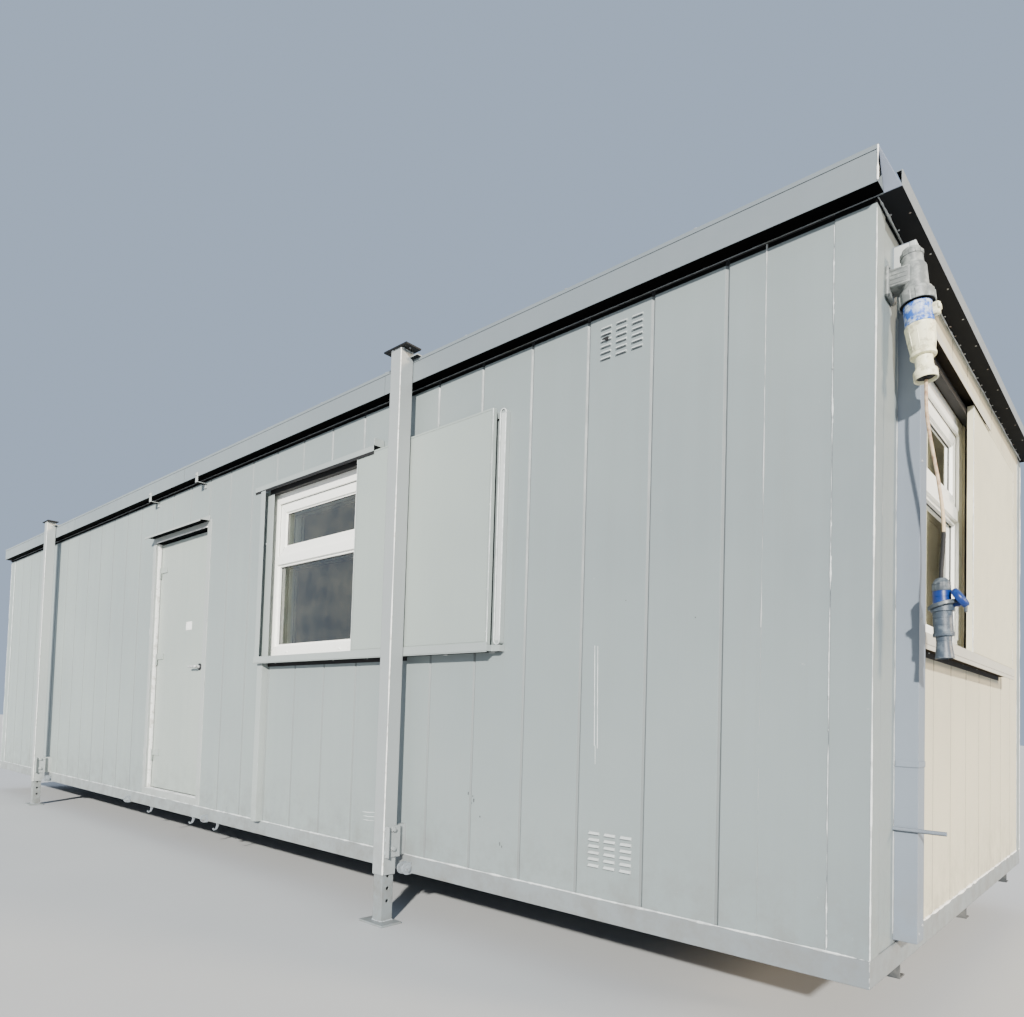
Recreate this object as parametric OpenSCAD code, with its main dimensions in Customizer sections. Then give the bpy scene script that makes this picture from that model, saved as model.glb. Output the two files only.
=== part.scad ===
// Portable steel site cabin standing on four jack legs.
// The length runs along X with the near end at +X, the door and window wall faces -Y and Z is up.
// Distances along the long wall are measured from the near end, those along the end wall from the front corner.

/* [Cabin body] */
// Overall length of the steel body, end face to end face
body_len = 9754; // [8600:1:12000]
// Overall width of the steel body, wall face to wall face
body_wid = 3048; // [2800:1:3400]
// Height of the side walls' top edge above the base rail's bottom
wall_top = 2519; // [2480:1:2700]
// Gap from the ground to the base rail's bottom
ground_gap = 240; // [180:1:450]

/* [Base] */
// Height of the base rail
rail_high = 86; // [80:1:110]
// Width of the base rail's flanges
rail_deep = 70; // [64:1:90]
// Thickness of the base rail's steel
rail_t = 6; // [4:1:8]
// Thickness of the floor board
board_t = 28; // [20:1:34]
// Width of a floor joist
joist_w = 45; // [40:1:60]
// Distance between the floor joists
joist_pitch = 610; // [500:1:700]
// Width of a bearer under the floor
bearer_w = 60; // [50:1:80]
// Height of a bearer under the floor
bearer_h = 58; // [50:1:80]

/* [Walls] */
// Thickness of the outer wall, steel sheet and framing
wall_t = 55; // [45:1:70]
// How far the wall sheets sit behind the rail and corner faces
wall_set = 4; // [2:1:8]
// Thickness of the inner lining boards
lining_t = 12; // [9:1:18]
// Width of a corner post on the long walls
corner_long = 130; // [110:1:160]
// Width of a corner post on the end walls
corner_end = 90; // [80:1:130]
// Distance between the pressed lines in the sheets
groove_pitch = 313; // [280:1:340]
// Distance of the first pressed line from the corner
groove_first = 510; // [480:1:560]
// Width of a pressed line
groove_w = 16; // [10:1:22]
// Depth of a pressed line
groove_d = 7; // [4:1:9]

/* [Roof] */
// Height of the long fascia
fascia_high = 121; // [110:1:150]
// How far the long fascia stands out from the wall
fascia_out = 68; // [50:1:68]
// How far the fascia runs past the end walls
fascia_past = 20; // [10:1:30]
// Thickness of folded steel sheet
sheet_t = 3; // [2:1:4]
// How far each end gutter stands out from the end wall
gutter_out = 74; // [60:1:90]
// Height of the end gutter's outer lip
gutter_lip = 55; // [40:1:60]
// Thickness of the roof deck at its ends
deck_t = 20; // [16:1:26]
// Rise of the roof from its ends to the middle
roof_rise = 20; // [10:1:24]
// Distance between the ribs of the roof sheet
rib_pitch = 250; // [200:1:300]
// Height of the ribs of the roof sheet
rib_high = 24; // [18:1:28]

/* [Door] */
// Distance from the near end to the near side of the doorway
door_from = 4590; // [4300:1:4700]
// Clear width of the doorway
door_wide = 910; // [800:1:940]
// Height of the sill above the base rail's bottom
door_sill = 140; // [132:1:160]
// Clear height of the doorway above the sill
door_high = 2006; // [1900:1:2020]
// Width of the door frame's face
door_face = 54; // [40:1:60]
// How far the leaf is set back from the wall face
door_set = 50; // [46:1:52]
// Thickness of the door leaf
leaf_t = 45; // [38:1:48]
// Gap round the door leaf
leaf_gap = 8; // [6:1:10]

/* [Windows] */
// Distance from the near end to the near side of the long wall's window
win_from = 2670; // [2600:1:2700]
// Distance from the front corner to the end wall's window
end_win_from = 390; // [380:1:420]
// Width of a window frame
win_wide = 1010; // [960:1:1030]
// Height of a window frame
win_high = 1074; // [1050:1:1090]
// Height of the window frame's bottom above the base rail's bottom
win_sill = 1144; // [1140:1:1160]
// Face width of the window frame
win_face = 70; // [60:1:76]
// Height of the lower pane's opening
pane_high = 534; // [500:1:560]

/* [Shutters] */
// Thickness of a sliding steel shutter
shutter_t = 25; // [20:1:26]
// Height of a shutter
shutter_high = 1106; // [1080:1:1130]
// Gap between a shutter's back and the wall face
shutter_gap = 33; // [31:1:36]
// Width of the long wall's shutter
shutter_wide = 1046; // [1020:1:1060]
// Distance from the near end to the open long wall's shutter
shutter_from = 1628; // [1600:1:1640]
// Width of the end wall's shutter
end_shutter_wide = 1090; // [1060:1:1100]
// Distance from the front corner to the open end wall's shutter
end_shutter_from = 1241; // [1220:1:1280]
// Height of the bottom track
track_high = 30; // [24:1:36]

/* [Legs] */
// Distance of the near legs' centre from the near end
leg_near = 2245; // [2200:1:2300]
// Distance of the far legs' centre from the far end
leg_far = 1824; // [1700:1:1950]
// Side of the square outer leg tube
leg_side = 80; // [76:1:90]
// Side of the square inner leg tube
leg_inner = 68; // [60:1:68]
// Gap between the wall face and the leg
leg_gap = 71; // [71:1:80]
// Length of the foot plate and the cap plate
plate_long = 180; // [160:1:240]
// Width of the foot plate
foot_wide = 124; // [110:1:150]

/* [Small parts] */
// Width of one louvre
louvre_w = 50; // [40:1:60]
// Distance between louvre columns
louvre_step = 76; // [66:1:84]
// Distance between louvre rows
louvre_row = 26; // [22:1:30]
// Side of the upright duct on the end wall
duct_wide = 85; // [70:1:100]
// Depth of the upright duct on the end wall
duct_deep = 70; // [60:1:76]

/* [Hidden] */

// The rod through the duct reaches further out than the far gutter, so the cabin is centred on both
rod_out = 155;
x_near = body_len / 2 - (rod_out - gutter_out) / 2;
x_far = x_near - body_len;
y_front = -body_wid / 2;
y_rear = body_wid / 2;
z_rail = ground_gap;
z_wall = ground_gap + rail_high;
z_top = ground_gap + wall_top;
z_floor = z_wall - rail_t + board_t;
z_ceiling = z_top - 110;
inner = wall_set + wall_t;
lined = inner + lining_t;
grooves = [for (k = [0 : 60]) groove_first + k * groove_pitch];

door_a = door_from;
door_b = door_from + door_wide;
z_sill = ground_gap + door_sill;
z_head = z_sill + door_high;
win_a = win_from;
win_b = win_from + win_wide;
z_win = ground_gap + win_sill;
z_win_top = z_win + win_high;
end_a = end_win_from;
end_b = end_win_from + win_wide;

// Box between two opposite corners
module block(a, b) {
    translate(a) cube([b[0] - a[0], b[1] - a[1], b[2] - a[2]]);
}

// Children placed as seen from the long wall: x grows away from the near end, y into the cabin
module on_front() {
    translate([x_near, y_front, 0]) mirror([1, 0, 0]) children();
}

// Children placed as seen from the end wall: x grows away from the front corner, y into the cabin
module on_near() {
    translate([x_near, y_front, 0]) rotate(90) children();
}

// The same pieces on the opposite side or end
module both_sides() {
    children();
    mirror([0, 1, 0]) children();
}

module both_ends() {
    children();
    translate([x_near + x_far, 0, 0]) mirror([1, 0, 0]) children();
}

// Outline of a sheet with pressed lines, from distance a to b
module grooved(a, b) {
    inside = [for (g = grooves) if (g > a + groove_w && g < b - groove_w) g];
    notches = [for (g = inside, q = [[-groove_w / 2, 0], [0, groove_d], [groove_w / 2, 0]]) [g + q[0], q[1]]];
    polygon(concat([[a, 0]], notches, [[b, 0], [b, wall_t], [a, wall_t]]));
}

module wall_piece(a, b, z0, z1) {
    translate([0, wall_set, z0]) linear_extrude(z1 - z0) grooved(a, b);
}

module board(a, b, z0, z1) {
    block([a, inner, z0], [b, lined, z1]);
}

// Channel steel frame round the floor, open to the inside
module base_rail() {
    color("slategray") difference() {
        block([x_far, y_front, z_rail], [x_near, y_rear, z_wall]);
        block([x_far + rail_t, y_front + rail_t, z_rail + rail_t], [x_near - rail_t, y_rear - rail_t, z_wall - rail_t]);
        block([x_far + rail_deep, y_front + rail_deep, z_rail - 1], [x_near - rail_deep, y_rear - rail_deep, z_wall + 1]);
    }
}

joists = floor((body_len - 2 * rail_deep - joist_w) / joist_pitch);
joist_gap = (body_len - 2 * rail_deep - joist_w) / joists;
module floor_joists() {
    color("dimgray") for (k = [0 : joists])
        block([x_far + rail_deep + k * joist_gap, y_front + rail_t, z_rail + rail_t],
            [x_far + rail_deep + k * joist_gap + joist_w, y_rear - rail_t, z_wall - rail_t]);
}

module floor_board() {
    color("tan") block([x_far + lined, y_front + lined, z_floor - board_t], [x_near - lined, y_rear - lined, z_floor]);
}

// Three channel bearers under the rail
module floor_bearers() {
    color("dimgray") for (y = [y_front + 400, 0, y_rear - 400])
        translate([x_far + 6, y - bearer_w / 2, z_rail - bearer_h]) rotate([90, 0, 90]) linear_extrude(body_len - 12) difference() {
            square([bearer_w, bearer_h]);
            translate([5, 5]) square([bearer_w, bearer_h - 10]);
        }
}

// Folded corner posts that stand proud of the sheets
module corner_posts() {
    color("silver") both_sides() both_ends() on_front() translate([0, 0, z_wall]) linear_extrude(z_top - z_wall) difference() {
        square([corner_long, corner_end]);
        translate([inner, inner]) square([corner_long, corner_end]);
    }
}

module wall_front_far() { color("silver") on_front() wall_piece(door_b + door_face, body_len - corner_long, z_wall, z_top); }
module wall_front_over_door() { color("silver") on_front() wall_piece(door_a - door_face, door_b + door_face, z_head + door_face, z_top); }
module wall_front_mid() { color("silver") on_front() wall_piece(win_b, door_a - door_face, z_wall, z_top); }
module wall_front_under_window() { color("silver") on_front() wall_piece(win_a, win_b, z_wall, z_win); }
module wall_front_over_window() { color("silver") on_front() wall_piece(win_a, win_b, z_win_top, z_top); }
module wall_front_near() { color("silver") on_front() wall_piece(corner_long, win_a, z_wall, z_top); }
module wall_rear() { color("silver") mirror([0, 1, 0]) on_front() wall_piece(corner_long, body_len - corner_long, z_wall, z_top); }
module wall_far_end() {
    color("silver") translate([x_near + x_far, 0, 0]) mirror([1, 0, 0])
        on_near() wall_piece(corner_end, body_wid - corner_end, z_wall, z_top);
}
module wall_near_left() { color("silver") on_near() wall_piece(corner_end, end_a, z_wall, z_top); }
module wall_near_under_window() { color("silver") on_near() wall_piece(end_a, end_b, z_wall, z_win); }
module wall_near_over_window() { color("silver") on_near() wall_piece(end_a, end_b, z_win_top, z_top); }
module wall_near_right() { color("silver") on_near() wall_piece(end_b, body_wid - corner_end, z_wall, z_top); }

// Lining boards with open joints, set round the doorway and the windows
joint = 3;
reveal = inner + 50;
module lining_front() {
    color("ivory") on_front() {
        board(inner, win_a - joint, z_wall, z_ceiling);
        board(win_a, win_b, z_wall, z_win);
        board(win_a, win_b, z_win_top, z_ceiling);
        board(win_b + joint, door_a - door_face - joint, z_wall, z_ceiling);
        board(door_a - door_face, door_b + door_face, z_head + door_face, z_ceiling);
        board(door_b + door_face + joint, body_len - inner, z_wall, z_ceiling);
    }
}

module lining_rear() {
    bays = 8;
    bay = (body_len - 2 * inner) / bays;
    color("ivory") mirror([0, 1, 0]) on_front() for (k = [0 : bays - 1])
        board(inner + k * bay, inner + (k + 1) * bay - joint, z_wall, z_ceiling);
}

module lining_ends() {
    color("ivory") {
        on_near() {
            board(lined, end_a - joint, z_wall, z_ceiling);
            board(end_a, end_b, z_wall, z_win);
            board(end_a, end_b, z_win_top, z_ceiling);
            board(end_b + joint, body_wid - lined, z_wall, z_ceiling);
        }
        translate([x_near + x_far, 0, 0]) mirror([1, 0, 0]) on_near() board(lined, body_wid - lined, z_wall, z_ceiling);
    }
}

// Insulated ceiling between the walls
module ceiling() {
    color("white") block([x_far + inner, y_front + inner, z_ceiling], [x_near - inner, y_rear - inner, z_top]);
}

// Roof deck that falls from the middle to both ends
module roof_deck() {
    color("gray") translate([x_far, y_rear, z_top]) rotate([90, 0, 0]) linear_extrude(body_wid)
        polygon([[0, 0], [body_len, 0], [body_len, deck_t], [body_len / 2, deck_t + roof_rise], [0, deck_t]]);
}

// Ribbed sheet over the deck, one length to each end gutter, with a cap over the joint
fascia_in = 60;
fall = atan(2 * roof_rise / body_len);
sheet_from = y_front + fascia_in + 4;
sheet_wide = body_wid - 2 * fascia_in - 8;
ribs = floor(sheet_wide / rib_pitch);
rib_left = (sheet_wide - (ribs - 1) * rib_pitch) / 2;
rib_shape = [[-34, 0], [-20, rib_high], [20, rib_high], [34, 0]];
module ribbed() {
    upper = [for (k = [0 : ribs - 1], q = rib_shape) [rib_left + k * rib_pitch + q[0], 1.5 + q[1]]];
    lower = [for (k = [ribs - 1 : -1 : 0], j = [3 : -1 : 0])
        [rib_left + k * rib_pitch + rib_shape[j][0] * 0.95, max(0, rib_shape[j][1] - 1.5)]];
    polygon(concat([[0, 1.5]], upper, [[sheet_wide, 1.5], [sheet_wide, 0]], lower, [[0, 0]]));
}

module roof_sheet() {
    half = body_len / 2 / cos(fall);
    color("lightgray") {
        both_ends() translate([x_near, sheet_from, z_top + deck_t]) rotate([0, fall, 0])
            translate([22, 0, 0]) rotate([90, 0, -90]) mirror([1, 0]) linear_extrude(half + 21.8) ribbed();
    }
}

// Folded long fascia: soffit, face with a capping lip, top and inner return
module fascia() {
    lip = 16;
    in = fascia_in;
    high = fascia_high;
    low = deck_t + roof_rise - 3.7;
    translate([x_far - fascia_past, y_front, z_top + 4]) rotate([90, 0, 90]) linear_extrude(body_len + 2 * fascia_past)
        polygon([[in, low], [in, high], [-fascia_out, high], [-fascia_out, high - lip], [2 - fascia_out, high - lip], [2 - fascia_out, 0],
            [0, 0], [0, sheet_t], [2 + sheet_t - fascia_out, sheet_t], [2 + sheet_t - fascia_out, high - sheet_t],
            [in - sheet_t, high - sheet_t], [in - sheet_t, low]]);
}

module fascias() {
    color("lightgray") both_sides() fascia();
}

// End gutter: floor, outer lip and a narrow return
module gutters() {
    color("lightgray") both_ends() translate([x_near, y_rear, z_top]) rotate([90, 0, 0]) linear_extrude(body_wid)
        polygon([[0, 0], [gutter_out, 0], [gutter_out, gutter_lip], [gutter_out - 18, gutter_lip], [gutter_out - 18, gutter_lip - sheet_t],
            [gutter_out - sheet_t, gutter_lip - sheet_t], [gutter_out - sheet_t, sheet_t], [0, sheet_t]]);
}

// Tapering plates that close the gutters against the fascia ends
module gutter_end_plates() {
    t = 3;
    high = z_top + 4 + fascia_high;
    a = [x_near + fascia_past, y_front - fascia_out + 2, high];
    b = [x_near + fascia_past, y_front, z_top - 0.3];
    c = [x_near + gutter_out, y_front, z_top - 0.3];
    d = [0, -t, 0];
    color("lavender") both_sides() both_ends() polyhedron([a, b, c, a + d, b + d, c + d],
        [[0, 1, 2], [5, 4, 3], [0, 3, 4, 1], [1, 4, 5, 2], [2, 5, 3, 0]]);
}

leg_x = [x_near - leg_near, x_far + leg_far];
leg_y = y_front - leg_gap - leg_side / 2;
leg_top = ground_gap + wall_top + 161;
foot_t = 10;
foot_off = 12;
inner_up = 300;
cap_t = 8;
wrap = (leg_side - leg_inner - 0.8) / 2;
module at_legs() {
    both_sides() for (x = leg_x) translate([x, leg_y, 0]) children();
}

// Outer tubes from the rail's bottom to above the fascia
module leg_posts() {
    color("silver") at_legs() translate([0, 0, z_rail]) linear_extrude(leg_top - z_rail) difference() {
        square(leg_side, center = true);
        square(leg_inner + 0.8, center = true);
    }
}

// Inner tubes with pin holes, each welded to a foot plate
module leg_feet() {
    color("slategray") at_legs() {
        difference() {
            translate([-leg_inner / 2, -leg_inner / 2, foot_t]) cube([leg_inner, leg_inner, z_rail + inner_up]);
            translate([6 - leg_inner / 2, 6 - leg_inner / 2, foot_t + 6]) cube([leg_inner - 12, leg_inner - 12, z_rail + inner_up]);
            for (k = [0 : 2]) translate([-leg_inner, 0, foot_t + 100 + k * 62]) rotate([0, 90, 0]) cylinder(h = 2 * leg_inner, r = 9, $fn = 32);
        }
        translate([-plate_long / 2, -foot_wide / 2 - foot_off, 0]) cube([plate_long, foot_wide, foot_t]);
    }
}

module leg_caps() {
    color("dimgray") at_legs() translate([-plate_long / 2, -50, leg_top]) difference() {
        cube([plate_long, 100, cap_t]);
        for (x = [30, plate_long - 30]) translate([x, 50, -1]) cylinder(h = cap_t + 2, r = 9, $fn = 32);
    }
}

// Brackets: a plate over the fascia, a packer behind the leg and a bolted angle on its near side
bracket_z = z_rail + rail_high + 1;
bracket_high = 156;
module leg_brackets() {
    back = leg_side / 2;
    packer = leg_gap + wall_set;
    color("silver") at_legs() {
        translate([-20, back, z_top + 4 + fascia_high]) cube([118, leg_gap + 20, 6]);
        translate([-20, back - 22, z_top + 4 + fascia_high]) difference() {
            cube([118, 22, 6]);
            translate([-1, -1, -1]) cube([20 + back + 1, 24, 8]);
        }
        translate([-24, back, bracket_z]) cube([48, packer, bracket_high]);
        translate([back, back - 70, bracket_z]) {
            translate([0, 0, 0]) cube([28, 6, bracket_high]);
            translate([0, 6, 0]) cube([8, 84, bracket_high]);
            for (z = [42, 137]) translate([8, 44, z]) {
                rotate([0, 90, 0]) cylinder(h = 3, r = 15, $fn = 32);
                rotate([0, 90, 0]) cylinder(h = 13, r = 11, $fn = 6);
            }
        }
    }
}

// Frame with a rebate that the leaf closes against
module door_frame() {
    stop = 15;
    color("silver") on_front() {
        difference() {
            block([door_a - door_face, 0, z_wall], [door_b + door_face, reveal, z_head + door_face]);
            block([door_a, -1, z_sill], [door_b, door_set + leaf_t + 5, z_head]);
            block([door_a + stop, -1, z_sill], [door_b - stop, reveal + 1, z_head - stop]);
            block([door_a - 60, lined, z_wall - 1], [door_b + 60, reveal + 1, z_floor]);
        }
    }
}

module door_leaf() {
    skin = 2;
    color("silver") on_front() difference() {
        block([door_a + leaf_gap, door_set, z_sill + leaf_gap], [door_b - leaf_gap, door_set + leaf_t, z_head - leaf_gap]);
        block([door_a + leaf_gap + 34, door_set - 1, z_sill], [door_a + leaf_gap + 34 + skin, door_set + skin, z_head]);
    }
}

// Three lift-off hinges: pin and lower knuckle on the frame, strap and upper knuckle on the leaf
hinge_z = [z_sill + 220, z_sill + door_high / 2, z_head - 290];
pin_x = x_near - door_b + 14;
pin_y = y_front + door_set - 10;
knuckle = 45;
module hinge_pins() {
    color("gray") for (z = hinge_z) translate([pin_x, pin_y, z]) {
        cylinder(h = knuckle, r = 8, $fn = 32);
        translate([-14, -5, 0]) cube([14, 10, knuckle]);
        cylinder(h = 2 * knuckle - 2, r = 4, $fn = 24);
    }
}

module hinge_straps() {
    color("gray") for (z = hinge_z) translate([pin_x, pin_y, z + knuckle + 0.4]) difference() {
        union() {
            cylinder(h = knuckle, r = 8, $fn = 32);
            translate([0, 3, 0]) cube([110, 7, knuckle]);
        }
        translate([0, 0, -1]) cylinder(h = knuckle - 1, r = 4.1, $fn = 24);
    }
}

// Lever handle: lock plate, neck and lever that points to the hinges
module door_handle() {
    x = door_a + 130;
    z = ground_gap + 1112;
    color("black") on_front() translate([x, door_set, z]) {
        rotate([90, 0, 0]) cylinder(h = 9, r = 26, $fn = 48);
        rotate([90, 0, 0]) cylinder(h = 46, r = 11, $fn = 24);
        translate([0, -40, 0]) sphere(r = 11, $fn = 24);
        translate([0, -40, 0]) rotate([0, 90, 0]) cylinder(h = 115, r = 9, $fn = 24);
    }
}

module door_sign() {
    color("white") on_front() block([door_a + 298, door_set - 2, ground_gap + 1404], [door_a + 396, door_set, ground_gap + 1468]);
}

// Folded strip that throws rain clear of the door
module door_drip() {
    color("silver") on_front() translate([door_a - 30, 0, z_head + 44]) rotate([90, 0, 90]) linear_extrude(door_wide + 80)
        polygon([[wall_set, 40], [wall_set, door_face - 43.7], [0, door_face - 43.7], [0, 0], [-72, -4], [-72, -16], [-75, -16],
            [-75, -1], [-3, 4], [-3, 40]]);
}

// White plastic frame: fixed lower pane, transom and a top light, seen from outside with the corner at the origin
frame_deep = 70;
step_in = 14;
sash_set = 10;
transom = 55;
light_z = win_face + pane_high + transom;
light_high = win_high - light_z - win_face;
sash_side = 58;
glass_t = 24;
pane_set = 31;
light_set = 30;
module frame_bars() {
    rotate([90, 0, 0]) translate([0, 0, -frame_deep]) linear_extrude(frame_deep) difference() {
        square([win_wide, win_high]);
        translate([win_face, win_face]) square([win_wide - 2 * win_face, pane_high]);
        translate([win_face, light_z]) square([win_wide - 2 * win_face, light_high]);
    }
    bead = 14;
    rotate([90, 0, 0]) translate([0, 0, -pane_set]) linear_extrude(pane_set - step_in) difference() {
        translate([win_face, win_face]) square([win_wide - 2 * win_face, pane_high]);
        translate([win_face + bead, win_face + bead]) square([win_wide - 2 * win_face - 2 * bead, pane_high - 2 * bead]);
    }
}

// The top light's sash stands in the frame, stepped back, with a lip inside that closes on the frame's back
module sash_bars() {
    side = sash_side;
    clear = 2;
    w = win_wide - 2 * win_face;
    translate([win_face, 0, light_z]) {
        rotate([90, 0, 0]) translate([0, 0, -frame_deep]) linear_extrude(frame_deep - step_in) difference() {
            translate([clear, clear]) square([w - 2 * clear, light_high - 2 * clear]);
            translate([side, side]) square([w - 2 * side, light_high - 2 * side]);
        }
        rotate([90, 0, 0]) translate([0, 0, -light_set]) linear_extrude(light_set - step_in - 10) difference() {
            translate([side - 1, side - 1]) square([w - 2 * side + 2, light_high - 2 * side + 2]);
            translate([side + 10, side + 10]) square([w - 2 * side - 20, light_high - 2 * side - 20]);
        }
        rotate([90, 0, 0]) translate([0, 0, -frame_deep - 6]) linear_extrude(6) difference() {
            translate([-8, -8]) square([w + 16, light_high + 16]);
            translate([side, side]) square([w - 2 * side, light_high - 2 * side]);
        }
    }
}

module panes() {
    side = sash_side;
    rotate([90, 0, 0]) translate([0, 0, -pane_set - glass_t]) linear_extrude(glass_t)
        translate([win_face, win_face]) square([win_wide - 2 * win_face, pane_high]);
    rotate([90, 0, 0]) translate([0, 0, -light_set - glass_t]) linear_extrude(glass_t)
        translate([win_face + side, light_z + side]) square([win_wide - 2 * win_face - 2 * side, light_high - 2 * side]);
}

module window_frame() { color("white") on_front() translate([win_a, wall_set + sash_set, z_win]) frame_bars(); }
module window_sash() { color("white") on_front() translate([win_a, wall_set + sash_set, z_win]) sash_bars(); }
module window_glass() { color("lightblue") on_front() translate([win_a, wall_set + sash_set, z_win]) panes(); }
module end_window_frame() { color("white") on_near() translate([end_a, wall_set + sash_set, z_win]) frame_bars(); }
module end_window_sash() { color("white") on_near() translate([end_a, wall_set + sash_set, z_win]) sash_bars(); }
module end_window_glass() { color("lightblue") on_near() translate([end_a, wall_set + sash_set, z_win]) panes(); }

// Folded steel shutter: front sheet with returned edges
z_track = ground_gap + 1135.6;
z_shut = z_track + 0.4;
z_shut_top = z_shut + shutter_high;
module shutter(wide) {
    translate([0, -shutter_gap - shutter_t, z_shut]) difference() {
        cube([wide, shutter_t, shutter_high]);
        translate([sheet_t, sheet_t, sheet_t]) cube([wide - 2 * sheet_t, shutter_t, shutter_high - 2 * sheet_t]);
    }
}

module shutter_front() { color("silver") on_front() translate([shutter_from, 0, 0]) shutter(shutter_wide); }
module shutter_end() { color("silver") on_near() translate([end_shutter_from, 0, 0]) shutter(end_shutter_wide); }

// Bottom track with a front lip, seen along the wall; run is its length
lip_out = shutter_gap + shutter_t + 5 + sheet_t;
module bottom_track(run) {
    rotate([90, 0, 90]) linear_extrude(run)
        polygon([[wall_set, z_track - track_high], [-lip_out, z_track - track_high], [-lip_out, z_track + 10], [sheet_t - lip_out, z_track + 10],
            [sheet_t - lip_out, z_track], [wall_set, z_track]]);
}

// Sloping hood over the closed shutter
module hood(run) {
    zf = z_shut_top;
    rotate([90, 0, 90]) linear_extrude(run)
        polygon([[wall_set, zf + 60], [0, zf + 60], [-lip_out, zf + 24], [-lip_out, zf - 6], [sheet_t - lip_out, zf - 6],
            [sheet_t - lip_out, zf + 22], [wall_set, zf + 57]]);
}

// Flat guide bar on the wall behind the shutter
module guide_bar(run) {
    rotate([90, 0, 90]) linear_extrude(run)
        polygon([[wall_set, z_shut_top - 34], [5 - shutter_gap, z_shut_top - 34], [5 - shutter_gap, z_shut_top - 4], [wall_set, z_shut_top - 4]]);
}

// Upright channel that takes the closed shutter's edge
module edge_guide() {
    translate([0, 0, z_track]) linear_extrude(shutter_high - 12)
        polygon([[0, -lip_out], [52, -lip_out], [52, wall_set], [49, wall_set], [49, 8 - shutter_gap], [-47, 8 - shutter_gap],
            [-47, 5 - shutter_gap], [49, 5 - shutter_gap], [49, sheet_t - lip_out], [0, sheet_t - lip_out]]);
}

guide_a = win_b - 24;
bar_w = 40;

module bar_outline() {
    hull() for (z = [z_track + bar_w / 2, z_shut_top - bar_w / 2]) translate([shutter_from - 32, z]) circle(d = bar_w, $fn = 40);
}

// Round-ended bar beside the window that stops the shutter, its face dished between two lips
module stop_bar() {
    translate([0, wall_set, 0]) rotate([90, 0, 0]) {
        linear_extrude(25) bar_outline();
        linear_extrude(29) difference() {
            bar_outline();
            offset(delta = -6) bar_outline();
        }
    }
}

module shutter_tracks_front() {
    color("silver") on_front() {
        translate([shutter_from - 8, 0, 0]) bottom_track(guide_a + 64 - shutter_from + 8);
        block([shutter_from - 57, 2 - shutter_gap, z_track - track_high], [shutter_from - 8, wall_set, z_track]);
        translate([win_a - 150, 0, 0]) hood(guide_a + 130 - win_a + 150);
        translate([shutter_from + 16, 0, 0]) guide_bar(guide_a - shutter_from - 16);
        translate([guide_a, 0, 0]) edge_guide();
        block([win_a - 156, -lip_out, z_shut_top + 24], [win_a - 150, 0, z_shut_top + 66]);
        stop_bar();
        block([guide_a - 4, -40, z_wall], [guide_a + 56, wall_set, z_track - track_high]);
    }
}

module shutter_tracks_end() {
    last = end_shutter_from + end_shutter_wide;
    color("silver") on_near() {
        translate([end_a - 20, 0, 0]) bottom_track(last - end_a + 26);
        translate([end_a - 24, 0, 0]) hood(end_b - end_a + 224);
        translate([end_a - 20, 0, 0]) guide_bar(last - end_a);
        translate([end_a - 20, 0, z_track]) linear_extrude(shutter_high - 12)
            polygon([[0, 0], [3, 0], [3, 8 - shutter_gap], [20, 8 - shutter_gap], [20, 5 - shutter_gap], [0, 5 - shutter_gap]]);
    }
}

// Louvres pressed outwards, three columns of six
louvre_from = 868;
vent_up = [2310, 208];
module louvres(z) {
    for (c = [0 : 2], r = [0 : 5])
        translate([louvre_from + c * louvre_step, wall_set, z + r * louvre_row]) rotate([90, 0, 90]) linear_extrude(louvre_w)
            polygon([[0, 0], [-9, 3], [-9, 5], [0, 14]]);
}

module vents() {
    color("silver") on_front() for (up = vent_up) louvres(ground_gap + up);
}

// Eyes on the rail's face, bent hooks under it and a pinned lug beside each leg
eye_at = [4380, 5775];
hook_at = [4256, 4630, 5372];
leg_eyes = [leg_near - 62, body_len - leg_far - 62];
module lashing_eyes() {
    color("slategray") both_sides() on_front() {
        for (x = eye_at) translate([x - 5, -28, ground_gap + 20]) rotate([90, 0, 90]) linear_extrude(10) difference() {
            union() {
                circle(r = 27, $fn = 40);
                translate([0, -27]) square([28, 54]);
            }
            circle(r = 13, $fn = 32);
        }
        for (x = leg_eyes) translate([x, -30, ground_gap + 26]) {
            for (d = [-22, 14]) translate([d, 0, 0]) rotate([90, 0, 90]) linear_extrude(8) union() {
                circle(r = 30, $fn = 40);
                translate([0, -30]) square([30, 60]);
            }
            translate([-36, 0, 0]) rotate([0, 90, 0]) cylinder(h = 72, r = 9, $fn = 24);
            translate([-33, 0, 0]) rotate([0, 90, 0]) cylinder(h = 9, r = 17, $fn = 6);
        }
        for (x = hook_at) translate([x - 5, 0, ground_gap]) rotate([90, 0, 90]) linear_extrude(10)
            polygon([[2, 0], [22, 0], [22, -12], [8, -42], [-14, -50], [-24, -36], [-16, -32], [-10, -40], [0, -36], [6, -14]]);
    }
}

// Upright duct from the base to the inlet, with a strap and a rod through it
duct_a = 265;
duct_low = 100;
duct_high = 2240;
strap_up = 680;
strap_wide = 20;
rod_up = 472;
box_a = 200;
box_wide = 92;
box_deep = 66;
box_up = 2352;
box_high = 100;
module cable_duct() {
    color("slategray") on_near() {
        block([duct_a, -duct_deep, ground_gap + duct_low], [duct_a + duct_wide, wall_set, ground_gap + duct_high]);
        block([duct_a - 2, -duct_deep - 2, ground_gap + strap_up], [duct_a + duct_wide + 2, 0, ground_gap + strap_up + strap_wide]);
        translate([duct_a - 7, -rod_out, ground_gap + rod_up]) rotate([-90, 0, 0]) cylinder(h = rod_out + wall_set, r = 7, $fn = 16);
        block([box_a, -box_deep, ground_gap + box_up], [box_a + box_wide, wall_set, ground_gap + box_up + box_high]);
        block([duct_a + 4, -34, ground_gap + duct_high], [duct_a + 26, wall_set, ground_gap + box_up]);
    }
}

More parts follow.
